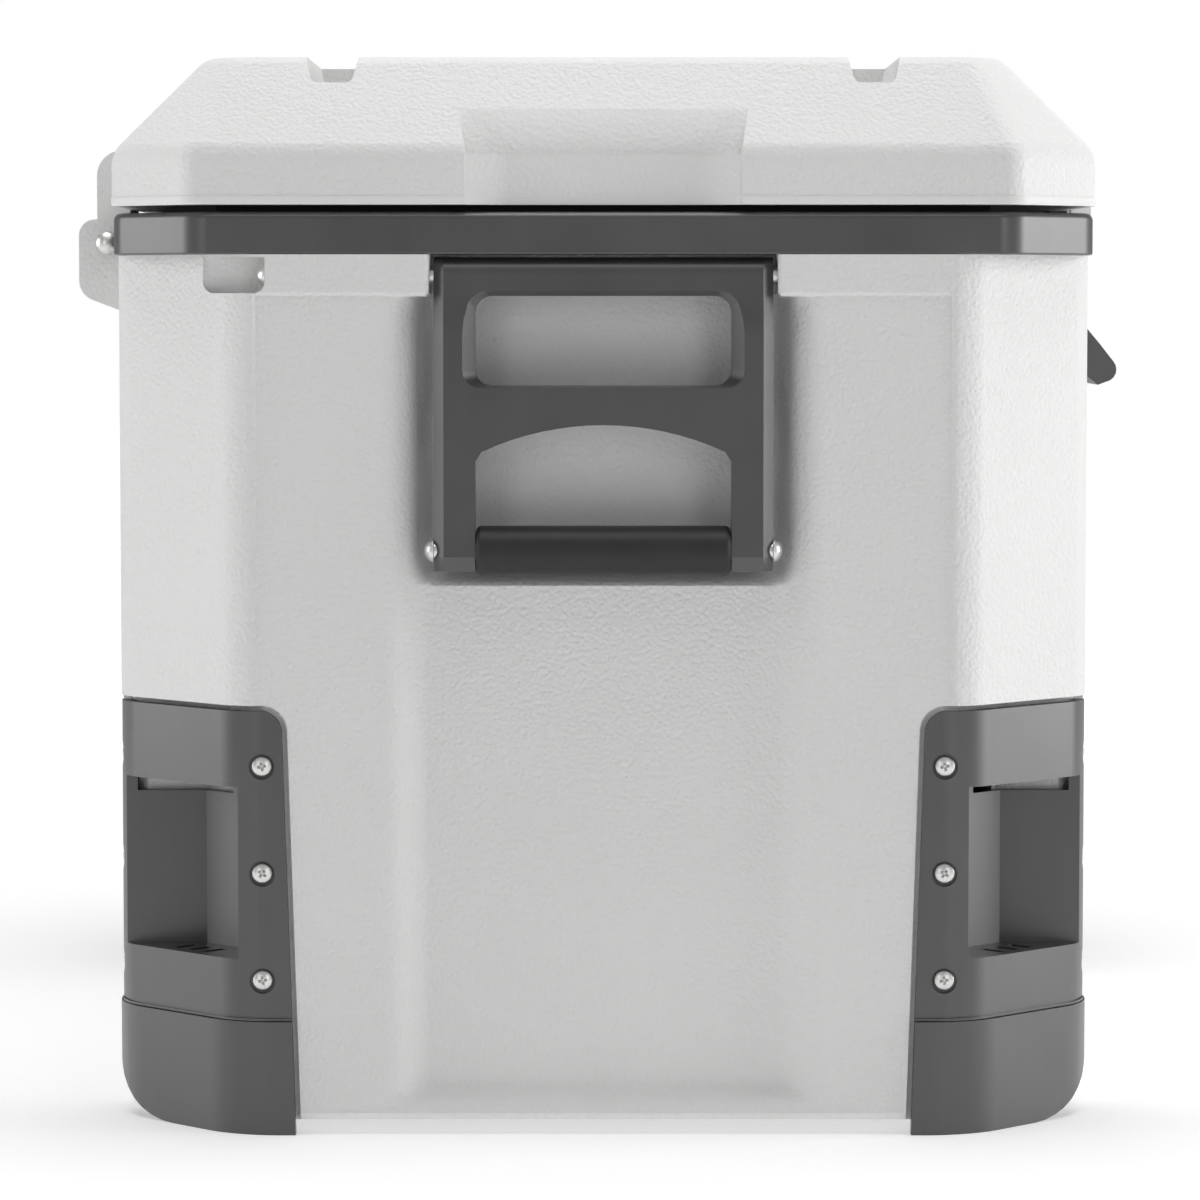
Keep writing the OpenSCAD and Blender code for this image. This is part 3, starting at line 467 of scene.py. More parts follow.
def bump(tree, shader, height, depth):
    made = add_node(tree, "Bump", {}, {"Height": height, "Distance": depth, "Strength": 1.0})
    tree.links.new(made.outputs["Normal"], shader.inputs["Normal"])


def pebbled_plastic(name, dark, light, grain, depth, smooth_below):
    """White polyethylene with the pebbled skin of its mould."""
    material, tree, shader, where = new_material(name, specular=0.35)
    skin = tree.nodes.new("ShaderNodeGroup")
    skin.node_tree = pebbled_skin
    tree.links.new(where, skin.inputs["Vector"])
    skin.inputs["Grain size"].default_value = grain
    skin.inputs["Smooth below"].default_value = smooth_below
    paint(tree, shader, skin.outputs["Tint"], dark, light, 0.44, 0.54)
    bump(tree, shader, skin.outputs["Height"], depth)
    return material


white_shell = pebbled_plastic("white_shell", (0.765, 0.765, 0.76), (0.80, 0.80, 0.795), 0.0019, 0.00042, -1.0)
tub_shell = show(tub, "tub_shell", white_shell, 2.2, 4, 38)
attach(tub_shell, "tub")
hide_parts("outer_shell")

# ---------------------------------------------------------------- inner liner and foam
# The liner is a thin white tray with wheel-well humps, set into the shell before the foam
# is poured between them. The foam sticks to both and holds them together.

hump = shell_wall + guard_wall + 22
liner = prism(faceted(inner_half_width, inner_half_length, inner_facet), "Z", floor_z, body_top)
hump_y, hump_top = half_length - well_length - hump, well_roof + hump
humps = [block((-400, hump_y, 0), (well_depth + hump - half_width, 400, hump_top)),
         block((half_width - well_depth - hump, hump_y, 0), (400, 400, hump_top))]
liner = boolean(liner, humps)
merge_flats(liner)
round_edges(liner, 9, 5, lambda e: not level_at(body_top)(e) and e.calc_face_angle(0) > 0.5)
bmesh.ops.delete(liner, geom=[f for f in liner.faces if all(v.co.z > body_top - 0.01 for v in f.verts)],
                 context="FACES_ONLY")
bmesh.ops.recalc_face_normals(liner, faces=liner.faces)
bmesh.ops.solidify(liner, geom=liner.faces[:], thickness=-3)


def smooth_plastic(name, dark, light, roughness, specular=0.5):
    """Moulded plastic with a faint cloudiness and a very fine skin."""
    material, tree, shader, where = new_material(name, specular=specular)
    cloud = noise(tree, where, 24.0, 5.0)
    skin = noise(tree, where, 2600.0, 3.0)
    paint(tree, shader, cloud, dark, light, roughness - 0.04, roughness + 0.05)
    bump(tree, shader, skin, 0.00003)
    return material


liner_plastic = smooth_plastic("liner_plastic", (0.78, 0.78, 0.775), (0.83, 0.83, 0.825), 0.32)
inner_tray = show(liner, "inner_tray", liner_plastic)
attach(inner_tray, "tub")
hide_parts("inner_liner")

foam, foam_tree, foam_shader, foam_where = new_material("foam")
cells = add_node(foam_tree, "TexVoronoi", {}, {"Vector": foam_where, "Scale": 900.0}).outputs["Distance"]
paint(foam_tree, foam_shader, cells, (0.62, 0.50, 0.24), (0.78, 0.68, 0.38), 0.85, 0.95)


def coat(node, material):
    """Gives a CAD node that stays in view its finish."""
    cad_nodes[node].data.materials.clear()
    cad_nodes[node].data.materials.append(material)


for node in ("insulation_foam", "lid_foam"):
    coat(node, foam)

# ---------------------------------------------------------------- rim frame
# A dark satin moulding that caps the shell and the liner and carries the gasket's seat.

rim_top = rim_high.z
rim_facet = 39
rim = prism(faceted(half_width, half_length, rim_facet), "Z", body_top, rim_top)
round_edges(rim, 7, 6, upright)
round_edges(rim, 3.2, 4, level_at(rim_top))
rim_hole = prism(faceted(inner_half_width, inner_half_length, inner_facet), "Z", body_top - 9, rim_top + 9)
round_edges(rim_hole, 9, 5, upright)
rim_recess = [block((half_width - recess_depth, y - recess_half, body_top - 9),
                    (half_width + 9, y + recess_half, rim_top + 9)) for y in (-latch_y, latch_y)]
rim = boolean(rim, [rim_hole] + rim_recess)
merge_flats(rim)

# Satin mould skin of the dark parts: a cloudy sheen, fine grit, and lighter rubbed streaks
satin_skin, given, told = new_group("satin_skin", [("Vector", "Vector", None), ("Streak", "Float", 0.5)],
                                    [("Height", "Float"), ("Tint", "Float"), ("Sheen", "Float")])
place = given.outputs["Vector"]
satin_skin.links.new(noise(satin_skin, place, 2200.0, 4.0), told.inputs["Height"])
cloud = noise(satin_skin, place, 16.0, 6.0)
drawn = add_node(satin_skin, "Mapping", {}, {"Vector": place, "Scale": (1.0, 1.0, 0.12)}).outputs[0]
streaks = maths(satin_skin, "SUBTRACT", noise(satin_skin, drawn, 190.0, 4.0), 0.5)
mixed = maths(satin_skin, "MULTIPLY", streaks, given.outputs["Streak"])
satin_skin.links.new(maths(satin_skin, "ADD", cloud, mixed), told.inputs["Tint"])
satin_skin.links.new(cloud, told.inputs["Sheen"])


def satin_plastic(name, dark, light, roughness, depth=0.00004, streak=0.4):
    """Dark moulded plastic with a satin surface."""
    material, tree, shader, where = new_material(name, specular=1.0)
    skin = tree.nodes.new("ShaderNodeGroup")
    skin.node_tree = satin_skin
    skin.inputs["Streak"].default_value = streak
    tree.links.new(where, skin.inputs["Vector"])
    tree.links.new(tint(tree, skin.outputs["Tint"], dark, light), shader.inputs["Base Color"])
    sheen = vary(tree, skin.outputs["Sheen"], roughness - 0.05, roughness + 0.06)
    tree.links.new(sheen, shader.inputs["Roughness"])
    bump(tree, shader, skin.outputs["Height"], depth)
    return material


dark_plastic = satin_plastic("dark_plastic", (0.040, 0.040, 0.040), (0.050, 0.050, 0.050), 0.34)
rim_cap = show(rim, "rim_cap", dark_plastic, 0.9, 3)
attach(rim_cap, "tub")
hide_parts("rim_frame")

# ---------------------------------------------------------------- corner guards and boot feet
# Two moulded guards wrap the handle end's corners. Each has a tie-down pocket with a strap
# slot, is held by six screws, and ends in a thicker boot foot that the cooler stands on.


def copy_of(node):
    """A CAD node's shape in millimetres, with its loose triangles merged into whole faces."""
    bm = bmesh.new()
    bm.from_mesh(cad_nodes[node].data)
    bmesh.ops.scale(bm, vec=(1 / MM,) * 3, verts=bm.verts)
    bmesh.ops.remove_doubles(bm, verts=bm.verts, dist=0.01)
    bmesh.ops.dissolve_limit(bm, angle_limit=math.radians(0.5), verts=bm.verts, edges=bm.edges)
    return bm


def soft_corner_block(grow, low, high, blend=12):
    """The tub's outline with soft upright corners, which trims a guard or a foot."""
    facet = corner_facet + grow * (2 - math.sqrt(2))
    shape = prism(faceted(half_width + grow, half_length + grow, facet), "Z", low, high)
    round_edges(shape, blend, 8, upright)
    return shape


foot_top = 51
foot_proud = 1.6
for side, s in (("front", 1), ("rear", -1)):
    soft_corners = soft_corner_block(0, foot_top - 9, guard_top + 9)
    guard = boolean(copy_of("guard_" + side), [soft_corners], "INTERSECT")
    trim = [span(axis, flange_foot_w - 0.2, flange_top_w - 0.2, guard_top, 10) for axis in "YX"]
    if s > 0:
        trim = [mirrored(t, "X") for t in trim]
    guard = boolean(guard, trim, "INTERSECT")
    line = boolean(soft_corner_block(3, foot_top + 1.4, foot_top + 2.4),
                   [soft_corner_block(-0.8, foot_top, foot_top + 9)])
    guard = boolean(guard, [line])
    merge_flats(guard)
    guard_piece = show(guard, "corner_guard_" + side, dark_plastic, 1.6, 3, 38)
    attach(guard_piece, "tub")
    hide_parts("guard_" + side)

foot_plastic = satin_plastic("foot_plastic", (0.038, 0.038, 0.038), (0.048, 0.048, 0.048), 0.35)
for side in ("front", "rear"):
    soft_corners = soft_corner_block(foot_proud, -9, foot_top + 9, 18)
    foot = boolean(copy_of("foot_" + side), [soft_corners], "INTERSECT")
    merge_flats(foot)
    foot_piece = show(foot, "boot_foot_" + side, foot_plastic, 1.3, 3, 38)
    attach(foot_piece, "tub")
    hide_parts("foot_" + side)

# Pan head screws, stainless, with a cross recess: six in each guard and each wheel housing
pan_r, pan_h, shank_l = 4.75, 2.6, 16
screw_inset, screw_seat = 69, 2.6
pocket_low, pocket_high = 79, 156.3


def spun(profile, steps=48):
    """A profile of radius and height, turned about Z into a closed solid."""
    bm = bmesh.new()
    points = [bm.verts.new((r, 0, h)) for r, h in profile]
    edges = [bm.edges.new(pair) for pair in zip(points, points[1:])]
    bmesh.ops.spin(bm, geom=points + edges, cent=(0, 0, 0), axis=(0, 0, 1), angle=2 * math.pi, steps=steps,
                   use_merge=True)
    bmesh.ops.remove_doubles(bm, verts=bm.verts, dist=0.0005)
    bmesh.ops.recalc_face_normals(bm, faces=bm.faces)
    return bm


def dome_profile(radius, height, steps=8):
    """A shallow domed cap, from its edge to its crown."""
    ball = (radius ** 2 + height ** 2) / (2 * height)
    reach = math.asin(radius / ball)
    turns = [reach * (1 - i / steps) for i in range(steps + 1)]
    return [(ball * math.sin(turn), height - ball + ball * math.cos(turn)) for turn in turns]


def turn_about_z(bm, degrees):
    bmesh.ops.rotate(bm, cent=(0, 0, 0), matrix=Matrix.Rotation(math.radians(degrees), 3, "Z"), verts=bm.verts)


def pan_screw():
    """One screw with its seat at the origin and its shank running down."""
    head = [(r, h + 1.3) for r, h in dome_profile(pan_r - 0.35, pan_h - 1.3)]
    profile = [(0, -shank_l), (2, -shank_l), (2, 0), (pan_r - 0.3, 0), (pan_r, 0.3), (pan_r, 0.95)] + head
    screw = spun(profile, 40)
    slots = []
    for turn in (0, 90):
        slot = block((-2.4, -0.6, 0.9), (2.4, 0.6, 4))
        for vert in slot.verts:
            if vert.co.z < 2:
                vert.co.x *= 0.55
        turn_about_z(slot, turn)
        slots.append(slot)
    slots[0] = boolean(slots[0], [slots[1]], "UNION")
    return boolean(screw, slots[:1])


def at_screws(side_inset, s_x, s_y):
    """Places of one corner's screws: on the end face and on the side face, turned to point out."""
    spots = []
    for z in (pocket_low - 9.5, (pocket_low + pocket_high) / 2, pocket_high + 9.4):
        turn = math.radians(23 * len(spots) + 10)
        end_place = Matrix.Translation((s_x * (half_width - screw_inset), s_y * (half_length - screw_seat), z))
        spots.append(end_place @ Matrix.Rotation(-s_y * math.pi / 2, 4, "X") @ Matrix.Rotation(turn, 4, "Z"))
        side_place = Matrix.Translation((s_x * (half_width - screw_seat), s_y * (half_length - side_inset), z))
        spots.append(side_place @ Matrix.Rotation(s_x * math.pi / 2, 4, "Y") @ Matrix.Rotation(turn, 4, "Z"))
    return spots


def placed(bm, spots):
    """Copies of one shape at many places, as one bmesh."""
    copies = []
    for spot in spots:
        copies.append(bm.copy())
        bmesh.ops.transform(copies[-1], matrix=spot, verts=copies[-1].verts)
    bm.free()
    return join(copies)


def steel(name, dark, light, roughness, scale):
    """Stainless steel with fine turning marks."""
    material, tree, shader, where = new_material(name, metallic=1.0)
    drawn = add_node(tree, "Mapping", {}, {"Vector": where, "Scale": (1.0, 0.15, 1.0)}).outputs[0]
    marks = noise(tree, drawn, scale, 5.0)
    paint(tree, shader, marks, dark, light, roughness - 0.05, roughness + 0.07)
    bump(tree, shader, marks, 0.000004)
    return material


stainless = steel("stainless", (0.66, 0.66, 0.65), (0.74, 0.74, 0.73), 0.34, 1400.0)
for name, side_inset, s_y in (("guard_screws", screw_inset, -1),
                              ("housing_screws", well_length + guard_wall + 11, 1)):
    spots = at_screws(side_inset, -1, s_y) + at_screws(side_inset, 1, s_y)
    screws = show(placed(pan_screw(), spots), "pan_" + name, stainless)
    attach(screws, "tub")
    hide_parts(name)

# ---------------------------------------------------------------- wheel housings
# At the wheel end each corner has a dark moulded housing that lines the wheel well and holds
# the stub axle in a boss. Six screws hold it.

for side, s in (("front", 1), ("rear", -1)):
    soft_corners = soft_corner_block(0, -9, guard_top + 9)
    housing = boolean(copy_of("wheel_housing_" + side), [soft_corners], "INTERSECT")
    trim = [mirrored(span(axis, housing_side - 0.2, housing_side - 0.2, guard_top, 10), "Y") for axis in "XY"]
    if s > 0:
        trim = [mirrored(t, "X") for t in trim]
    housing = boolean(housing, trim, "INTERSECT")
    merge_flats(housing)
    housing_piece = show(housing, "wheel_well_" + side, dark_plastic, 1.4, 3, 38)
    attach(housing_piece, "tub")
    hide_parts("wheel_housing_" + side)

# ---------------------------------------------------------------- wheels
# Each wheel is a ribbed black tyre on a six-hole moulded hub, with a pale plastic bush that
# runs on the stub axle. The axle's domed head keeps the wheel on.

hub_r, bush_r = 60, 9
wheel_x = half_width - 2.3 - wheel_half


def on_axle(bm, s):
    """Turns a shape made round Z so that it lies on a wheel's axis, its top facing out."""
    bmesh.ops.transform(bm, matrix=Matrix.Translation((s * wheel_x, axle_y, wheel_r))
                        @ Matrix.Rotation(s * math.pi / 2, 4, "Y"), verts=bm.verts)
    return bm


def tyre_profile():
    """Half round shoulders and a tread with three grooves that run round the tyre."""
    tread = []
    for centre in (-9, 0, 9):
        tread += [(wheel_r, centre - 2.2), (wheel_r - 2.2, centre - 1.2), (wheel_r - 2.2, centre + 1.2),
                  (wheel_r, centre + 2.2)]
    low = [(wheel_r - 6 + 6 * math.cos(a), 6 - wheel_half - 6 * math.sin(a))
           for a in (math.radians(90 - 15 * i) for i in range(7))]
    high = [(r, -h) for r, h in reversed(low)]
    return ([(hub_r, 3 - wheel_half), (wheel_r - 10, -wheel_half + 0.6)] + low + tread + high
            + [(wheel_r - 10, wheel_half - 0.6), (hub_r, wheel_half - 3), (hub_r, 3 - wheel_half)])


def tyre():
    """The tyre with cross slots cut in both shoulders."""
    body = spun(tyre_profile(), 96)
    slot = block((wheel_r - 3, -1.3, 12.5), (wheel_r + 5, 1.3, wheel_half + 3))
    low_slot = mirrored(slot, "Z")
    turn_about_z(low_slot, 7.5)
    both = join([slot, low_slot])
    spots = [Matrix.Rotation(math.radians(15 * i), 4, "Z") for i in range(24)]
    return boolean(body, [placed(both, spots)])


def rubber(name, dark, light, roughness, grain=1100.0, depth=0.00008):
    """Matt rubber with a fine skin and a dusty bloom."""
    material, tree, shader, where = new_material(name, specular=0.4)
    skin = noise(tree, where, grain, 4.0)
    bloom = noise(tree, where, 30.0, 6.0)
    paint(tree, shader, bloom, dark, light, roughness - 0.06, roughness + 0.06)
    bump(tree, shader, skin, depth)
    return material


hub_profile = [(bush_r, 1 - wheel_half), (17, 1 - wheel_half), (18, 2 - wheel_half), (20, -5),
               (hub_r - 8, -5), (hub_r - 6, -6), (hub_r - 5, 3 - wheel_half), (hub_r, 3 - wheel_half)]
hub_profile += [(r, -h) for r, h in reversed(hub_profile)]
hub_profile.append(hub_profile[0])
hole_place = (hub_r + 12) / 2
tyre_rubber = rubber("tyre_rubber", (0.018, 0.018, 0.019), (0.032, 0.032, 0.033), 0.62)
bush_plastic = smooth_plastic("bush_plastic", (0.68, 0.67, 0.62), (0.76, 0.75, 0.71), 0.38)
for side, s in (("front", 1), ("rear", -1)):
    tyre_piece = show(on_axle(tyre(), s), "ribbed_tyre_" + side, tyre_rubber, 0.5, 2, 40)
    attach(tyre_piece, "wheel_" + side)
    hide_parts("tyre_" + side)

    spots = [Matrix.Rotation(i * math.pi / 3, 4, "Z") for i in range(6)]
    holes = placed(rod("Z", 9, -9, 9, (hole_place, 0), 32), spots)
    hub = boolean(spun(hub_profile, 96), [holes])
    merge_flats(hub)
    hub_piece = show(on_axle(hub, s), "wheel_hub_" + side, dark_plastic, 0.8, 2, 40)
    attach(hub_piece, "wheel_" + side)
    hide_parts("hub_" + side)

    reach = wheel_half - 0.2
    bush = spun([(6.05, -reach), (bush_r - 0.5, -reach), (bush_r, 0.5 - reach), (bush_r, reach - 0.5),
                 (bush_r - 0.5, reach), (6.05, reach), (6.05, -reach)])
    bush_piece = show(on_axle(bush, s), "axle_bush_" + side, bush_plastic)
    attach(bush_piece, "wheel_" + side)
    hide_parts("wheel_bush_" + side)

    root = half_width - wheel_x - well_depth - guard_wall - 11
    head = [(r, h + wheel_half + 1.6) for r, h in dome_profile(bush_r + 0.8, 2.5)]
    axle = spun([(0, root), (5.5, root), (6, root + 0.5), (6, wheel_half + 0.4),
                 (bush_r + 0.7, wheel_half + 0.4), (bush_r + 1, wheel_half + 0.7),
                 (bush_r + 1, wheel_half + 1.4)] + head)
    axle_piece = show(on_axle(axle, s), "stub_axle_" + side, stainless)
    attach(axle_piece, "tub")
    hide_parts("axle_" + side)

# ---------------------------------------------------------------- tow handle
# One moulded frame hangs from the pivot rod. Its barrel runs across the top, a window and an
# arched opening lighten it, and a rubber grip turns on a long bolt between its two arms.

handle_low, handle_high = box("handle_frame")
handle_half = handle_high.x
window_half = 57
barrel_r = 8
handle_front, handle_back, handle_foot = handle_low.y, -338.9, handle_low.z
grip_y, grip_z, grip_r = -346.9, 262.2, 11.1
side_chamfer = 4.5

neck = [(pivot_y - barrel_r - 0.3, pivot_z - 9), (handle_front + 0.6, pivot_z - 20),
        (handle_front, pivot_z - 26)]
profile = arc((pivot_y, pivot_z), barrel_r, 180, 0, 12)
profile += [(handle_back, pivot_z - 16), (handle_back, handle_foot), (handle_front + 3, handle_foot),
            (handle_front, handle_foot + 6.5)] + neck[::-1]
handle = prism(profile, "X", -handle_half, handle_half)

# A long chamfer runs down each outer side of the frame, from the barrel to the foot
for s in (-1, 1):
    bmesh.ops.bisect_plane(handle, geom=handle.verts[:] + handle.edges[:] + handle.faces[:], dist=0.001,
                           plane_co=(s * (handle_half - side_chamfer), 0, 0), plane_no=(1, 0, 0))
for vert in handle.verts:
    if abs(vert.co.x) > handle_half - 0.01 and vert.co.y < pivot_y:
        vert.co.y += side_chamfer * min((pivot_y - vert.co.y) / barrel_r, 1)


def front_cut(outline, spread_side, spread_top, spread_foot, lip):
    """A cutter through the frame whose front mouth is wider, for an opening with sloped sides."""
    back = prism(outline, "Y", handle_front + lip, handle_back + 9)
    centre = sum(b for a, b in outline) / len(outline)
    bm = bmesh.new()
    rings = []
    for y, grow in ((handle_front + lip, 0), (handle_front - 3, 1 + 3 / lip)):
        ring = []
        for a, b in outline:
            up = spread_top if b > centre else -spread_foot
            ring.append(bm.verts.new((a + math.copysign(spread_side, a) * grow, y, b + up * grow)))
        rings.append([bm.edges.new((ring[i - 1], ring[i])) for i in range(len(ring))])
    bmesh.ops.bridge_loops(bm, edges=rings[0] + rings[1])
    for ring in rings:
        bmesh.ops.contextual_create(bm, geom=ring)
    bmesh.ops.recalc_face_normals(bm, faces=bm.faces)
    return [back, bm]


def round_rect(half, low, high, r):
    return (arc((half - r, high - r), r, 0, 90, 6) + arc((r - half, high - r), r, 90, 180, 6)
            + arc((r - half, low + r), r, 180, 270, 6) + arc((half - r, low + r), r, 270, 360, 6))


window_top, window_foot = pivot_z - 9.2, grip_z + 73.3
window = front_cut(round_rect(window_half, window_foot, window_top, 7.5), 5.5, 6, 0.8, 6)
arch_side, sag = grip_z + 42.7, 13.3
arch_r = (window_half ** 2 + sag ** 2) / (2 * sag)
arch_turn = math.degrees(math.asin((window_half - 3) / arch_r))
arch_outline = [(-window_half, 200), (window_half, 200), (window_half, arch_side - 3)]
arch_outline += arc((0, arch_side + sag - arch_r), arch_r, 90 - arch_turn, 90 + arch_turn, 16)
arch_outline += [(-window_half, arch_side - 3)]
arch_cut = prism(arch_outline, "Y", handle_front - 9, handle_back + 9)
handle = boolean(handle, window + [arch_cut, rod("X", rod_bore, -99, 99, (pivot_y, pivot_z)),
                                   rod("X", bolt_bore, -99, 99, (grip_y, grip_z))])
merge_flats(handle)

handle_piece = show(handle, "tow_handle_frame", dark_plastic, 0.7, 3, 24)
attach(handle_piece, "tow_handle")
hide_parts("handle_frame")


def along_x(bm, x, y, z, s=1):
    """Lays a shape made round Z along X, its top facing the side that s gives."""
    bmesh.ops.transform(bm, matrix=Matrix.Translation((x, y, z)) @ Matrix.Rotation(s * math.pi / 2, 4, "Y"),
                        verts=bm.verts)
    return bm


grip_half = window_half - 0.3
grip_end = arc((grip_r - 2.6, grip_half - 2.6), 2.6, 0, 90, 6)
grip_profile = ([(bolt_bore, -grip_half)] + [(r, -h) for r, h in reversed(grip_end)] + grip_end
                + [(bolt_bore, grip_half), (bolt_bore, -grip_half)])
grip_rubber = rubber("grip_rubber", (0.014, 0.014, 0.014), (0.022, 0.022, 0.022), 0.46, 1800.0, 0.00005)
grip_piece = show(along_x(spun(grip_profile, 72), 0, grip_y, grip_z), "rubber_grip", grip_rubber)
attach(grip_piece, "grip")
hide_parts("handle_grip")

bolt_head = [(5.5, 0.3)] + [(r, h + 0.5) for r, h in dome_profile(5.4, 3.9)]
bolt_end = [(0, -handle_half), (4, -handle_half), (4, 0), (5.2, 0)] + bolt_head
bolt = join([along_x(spun(bolt_end, 40), s * handle_half, grip_y, grip_z, s) for s in (-1, 1)])
bolt_piece = show(bolt, "grip_through_bolt", stainless)
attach(bolt_piece, "tow_handle")
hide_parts("grip_bolt")

rod_head = [(0, -257), (3.2, -257), (3.5, -256.7), (3.5, 0), (5.2, 0), (5.5, 0.3)]
rod_head += [(r, h + 0.5) for r, h in dome_profile(5.4, 3.6)]
pivot_rod = along_x(spun(rod_head, 40), -150.2, pivot_y, pivot_z, -1)
rod_piece = show(pivot_rod, "pivot_rod", stainless)
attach(rod_piece, "tub")
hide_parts("handle_pivot_rod")

# ---------------------------------------------------------------- lid
# The lid is a second pebbled white shell with a sloped shoulder all round, a finger recess at
# each end, four strap notches, hinge knuckles on one side and latch ears on the other.

lid_base, lid_top = box("lid_gasket")[1].z, box("lid_shell")[1].z
lid_half_width, lid_half_length = half_width + 0.5, half_length + 0.5
skirt_top = lid_base + 24
lid_run, lid_rise = 41.8, lid_top - skirt_top
lid_facet = 38

lid = prism(faceted(lid_half_width, lid_half_length, lid_facet), "Z", lid_base, skirt_top)
crown = [f for f in lid.faces if f.normal.z > 0.9]
bmesh.ops.inset_region(lid, faces=crown, thickness=lid_run, use_even_offset=True, use_boundary=True)
bmesh.ops.translate(lid, verts=[v for f in crown for v in f.verts], vec=(0, 0, lid_rise))
round_edges(lid, 5, 6, lambda e: not level_at(lid_base)(e))
lip = prism(faceted(lid_half_width + 0.35, lid_half_length + 0.35, lid_facet), "Z", lid_base, lid_base + 3.7)
round_edges(lip, 5, 6, upright)
round_edges(lip, 1.4, 3, level_at(lid_base))
lid = boolean(lid, [lip], "UNION")

lift_half, lift_flare, lift_side = 61.3, 3.2, 16.3
lift_top, ledge = skirt_top + 0.435 * lid_rise, skirt_top - 1.8
lift_foot = 12 - lid_half_length
lift_face = lift_foot - 5


def lift_recess():
    """The finger recess: an upright face between slanted sides, a ledge, and a steep floor above."""
    plan = [(-lift_half - 4, -400), (-lift_half, 2 - lid_half_length), (lift_side - lift_half, lift_face),
            (lift_half - lift_side, lift_face), (lift_half, 2 - lid_half_length), (lift_half + 4, -400)]
    low = prism(plan, "Z", 0, ledge)
    round_edges(low, 3, 4, lambda e: upright(e) and all(v.co.y > -345 for v in e.verts))
    front = prism([(-lift_half, ledge - 0.01), (lift_half, ledge - 0.01), (lift_half + lift_flare, lift_top),
                   (-lift_half - lift_flare, lift_top)], "Y", -400, -300)
    inner = lid_run / lid_rise * (lift_top - skirt_top) - lid_half_length
    fall = prism([(-400, ledge - 1), (lift_foot, ledge - 1), (lift_foot, ledge - 0.01), (inner, lift_top),
                  (-400, lift_top)], "X", -300, 300)
    return boolean(low, [boolean(front, [fall], "INTERSECT")], "UNION")


def strap_notch(x):
    """A notch in the lid's top edge for a strap, from the end inwards."""
    outline = [(x - 12, lid_top + 1), (x - 9, lid_top - 12), (x + 9, lid_top - 12), (x + 12, lid_top + 1)]
    shape = prism(outline, "Y", -400, 156 - half_length)
    round_edges(shape, 2.5, 4, lambda e: all(v.co.z < lid_top for v in e.verts))
    return shape


lid_cutters = [lift_recess()] + [strap_notch(s * 122) for s in (-1, 1)]
lid_cutters += [mirrored(cutter, "Y") for cutter in lid_cutters]
pin_x, pin_z = half_width - 2, skirt_top - 9.8
lid = boolean(lid, lid_cutters + [block((pin_x - 10.5, y - 22.5, 300), (400, y + 22.5, skirt_top + 1.2))
                                  for y in (-latch_y, latch_y)])
merge_flats(lid)


def on_ledge(edge):
    """The finger recess's outer edge, where its upright faces meet the ledge."""
    return all(abs(v.co.z - ledge) < 0.05 and abs(v.co.y) > -lift_foot + 1 and abs(v.co.x) < lift_half + 1
               for v in edge.verts) and edge.calc_face_angle(0) > 1


round_edges(lid, 4.6, 5, on_ledge)
inside = prism(faceted(lid_half_width - shell_wall, lid_half_length - shell_wall, lid_facet - 2.3), "Z",
               lid_base - 9, lid_base + 3.2)
inside = boolean(inside, [block((-lift_half - 6, 330, 0), (lift_half + 6, 400, 600)),
                          block((-lift_half - 6, -400, 0), (lift_half + 6, -330, 600))]
                 + [block((pin_x - 18, y - 34, 0), (400, y + 34, 600)) for y in (-latch_y, latch_y)])
lid = boolean(lid, [inside])

knuckle_half = hinge_half - lug_w - 0.5
knuckle_out = hinge_x - 7
knuckle_outline = [(3 - half_width, lid_base), (-half_width - 0.8, lid_base),
                   (-half_width - 0.8, hinge_z + 1)]
knuckle_outline += arc((hinge_x, hinge_z), 7, 0, -180, 12)
knuckle_outline += arc((knuckle_out + 12, skirt_top - 8), 12, 180, 90) + [(3 - half_width, skirt_top + 4)]
knuckles = [prism(knuckle_outline, "Y", y - knuckle_half, y + knuckle_half) for y in (-hinge_y, hinge_y)]
ear_out = lid_half_width + 8.4
ear_outline = [(lid_half_width - 1, lid_base - 2.2), (ear_out, lid_base - 2.2), (ear_out, skirt_top + 2),
               (ear_out - 7, skirt_top + 8.2), (lid_half_width - 8, skirt_top + 8.2),
               (lid_half_width - 8, skirt_top - 2), (lid_half_width - 1, skirt_top - 2)]
ears = [prism(ear_outline, "Y", y, y + 7)
        for middle in (-latch_y, latch_y) for y in (middle - 29.5, middle + 22.5)]
lid = boolean(lid, knuckles + ears, "UNION")
pin_half = 28
lid = boolean(lid, [rod("Y", bolt_bore, -300, 300, (hinge_x, hinge_z))]
              + [rod("Y", 3.05, y - pin_half, y + pin_half, (pin_x, pin_z)) for y in (-latch_y, latch_y)])
merge_flats(lid)
white_lid = pebbled_plastic("white_lid", (0.78, 0.78, 0.775), (0.815, 0.815, 0.81), 0.0019, 0.00042, 0.4195)
lid_cover = show(lid, "lid_cover", white_lid, 1.5, 3, 36)
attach(lid_cover, "lid")
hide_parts("lid_shell")

gasket_rubber = rubber("gasket_rubber", (0.010, 0.010, 0.010), (0.018, 0.018, 0.018), 0.7)
coat("lid_liner", liner_plastic)
coat("lid_gasket", gasket_rubber)

# ---------------------------------------------------------------- hinge rods and latches
# A steel rod with two domed heads pins each hinge. Each latch is a rubber lever that hangs
# from a steel pin in the lid's ears and flares out to a rounded pull tip over its keeper.

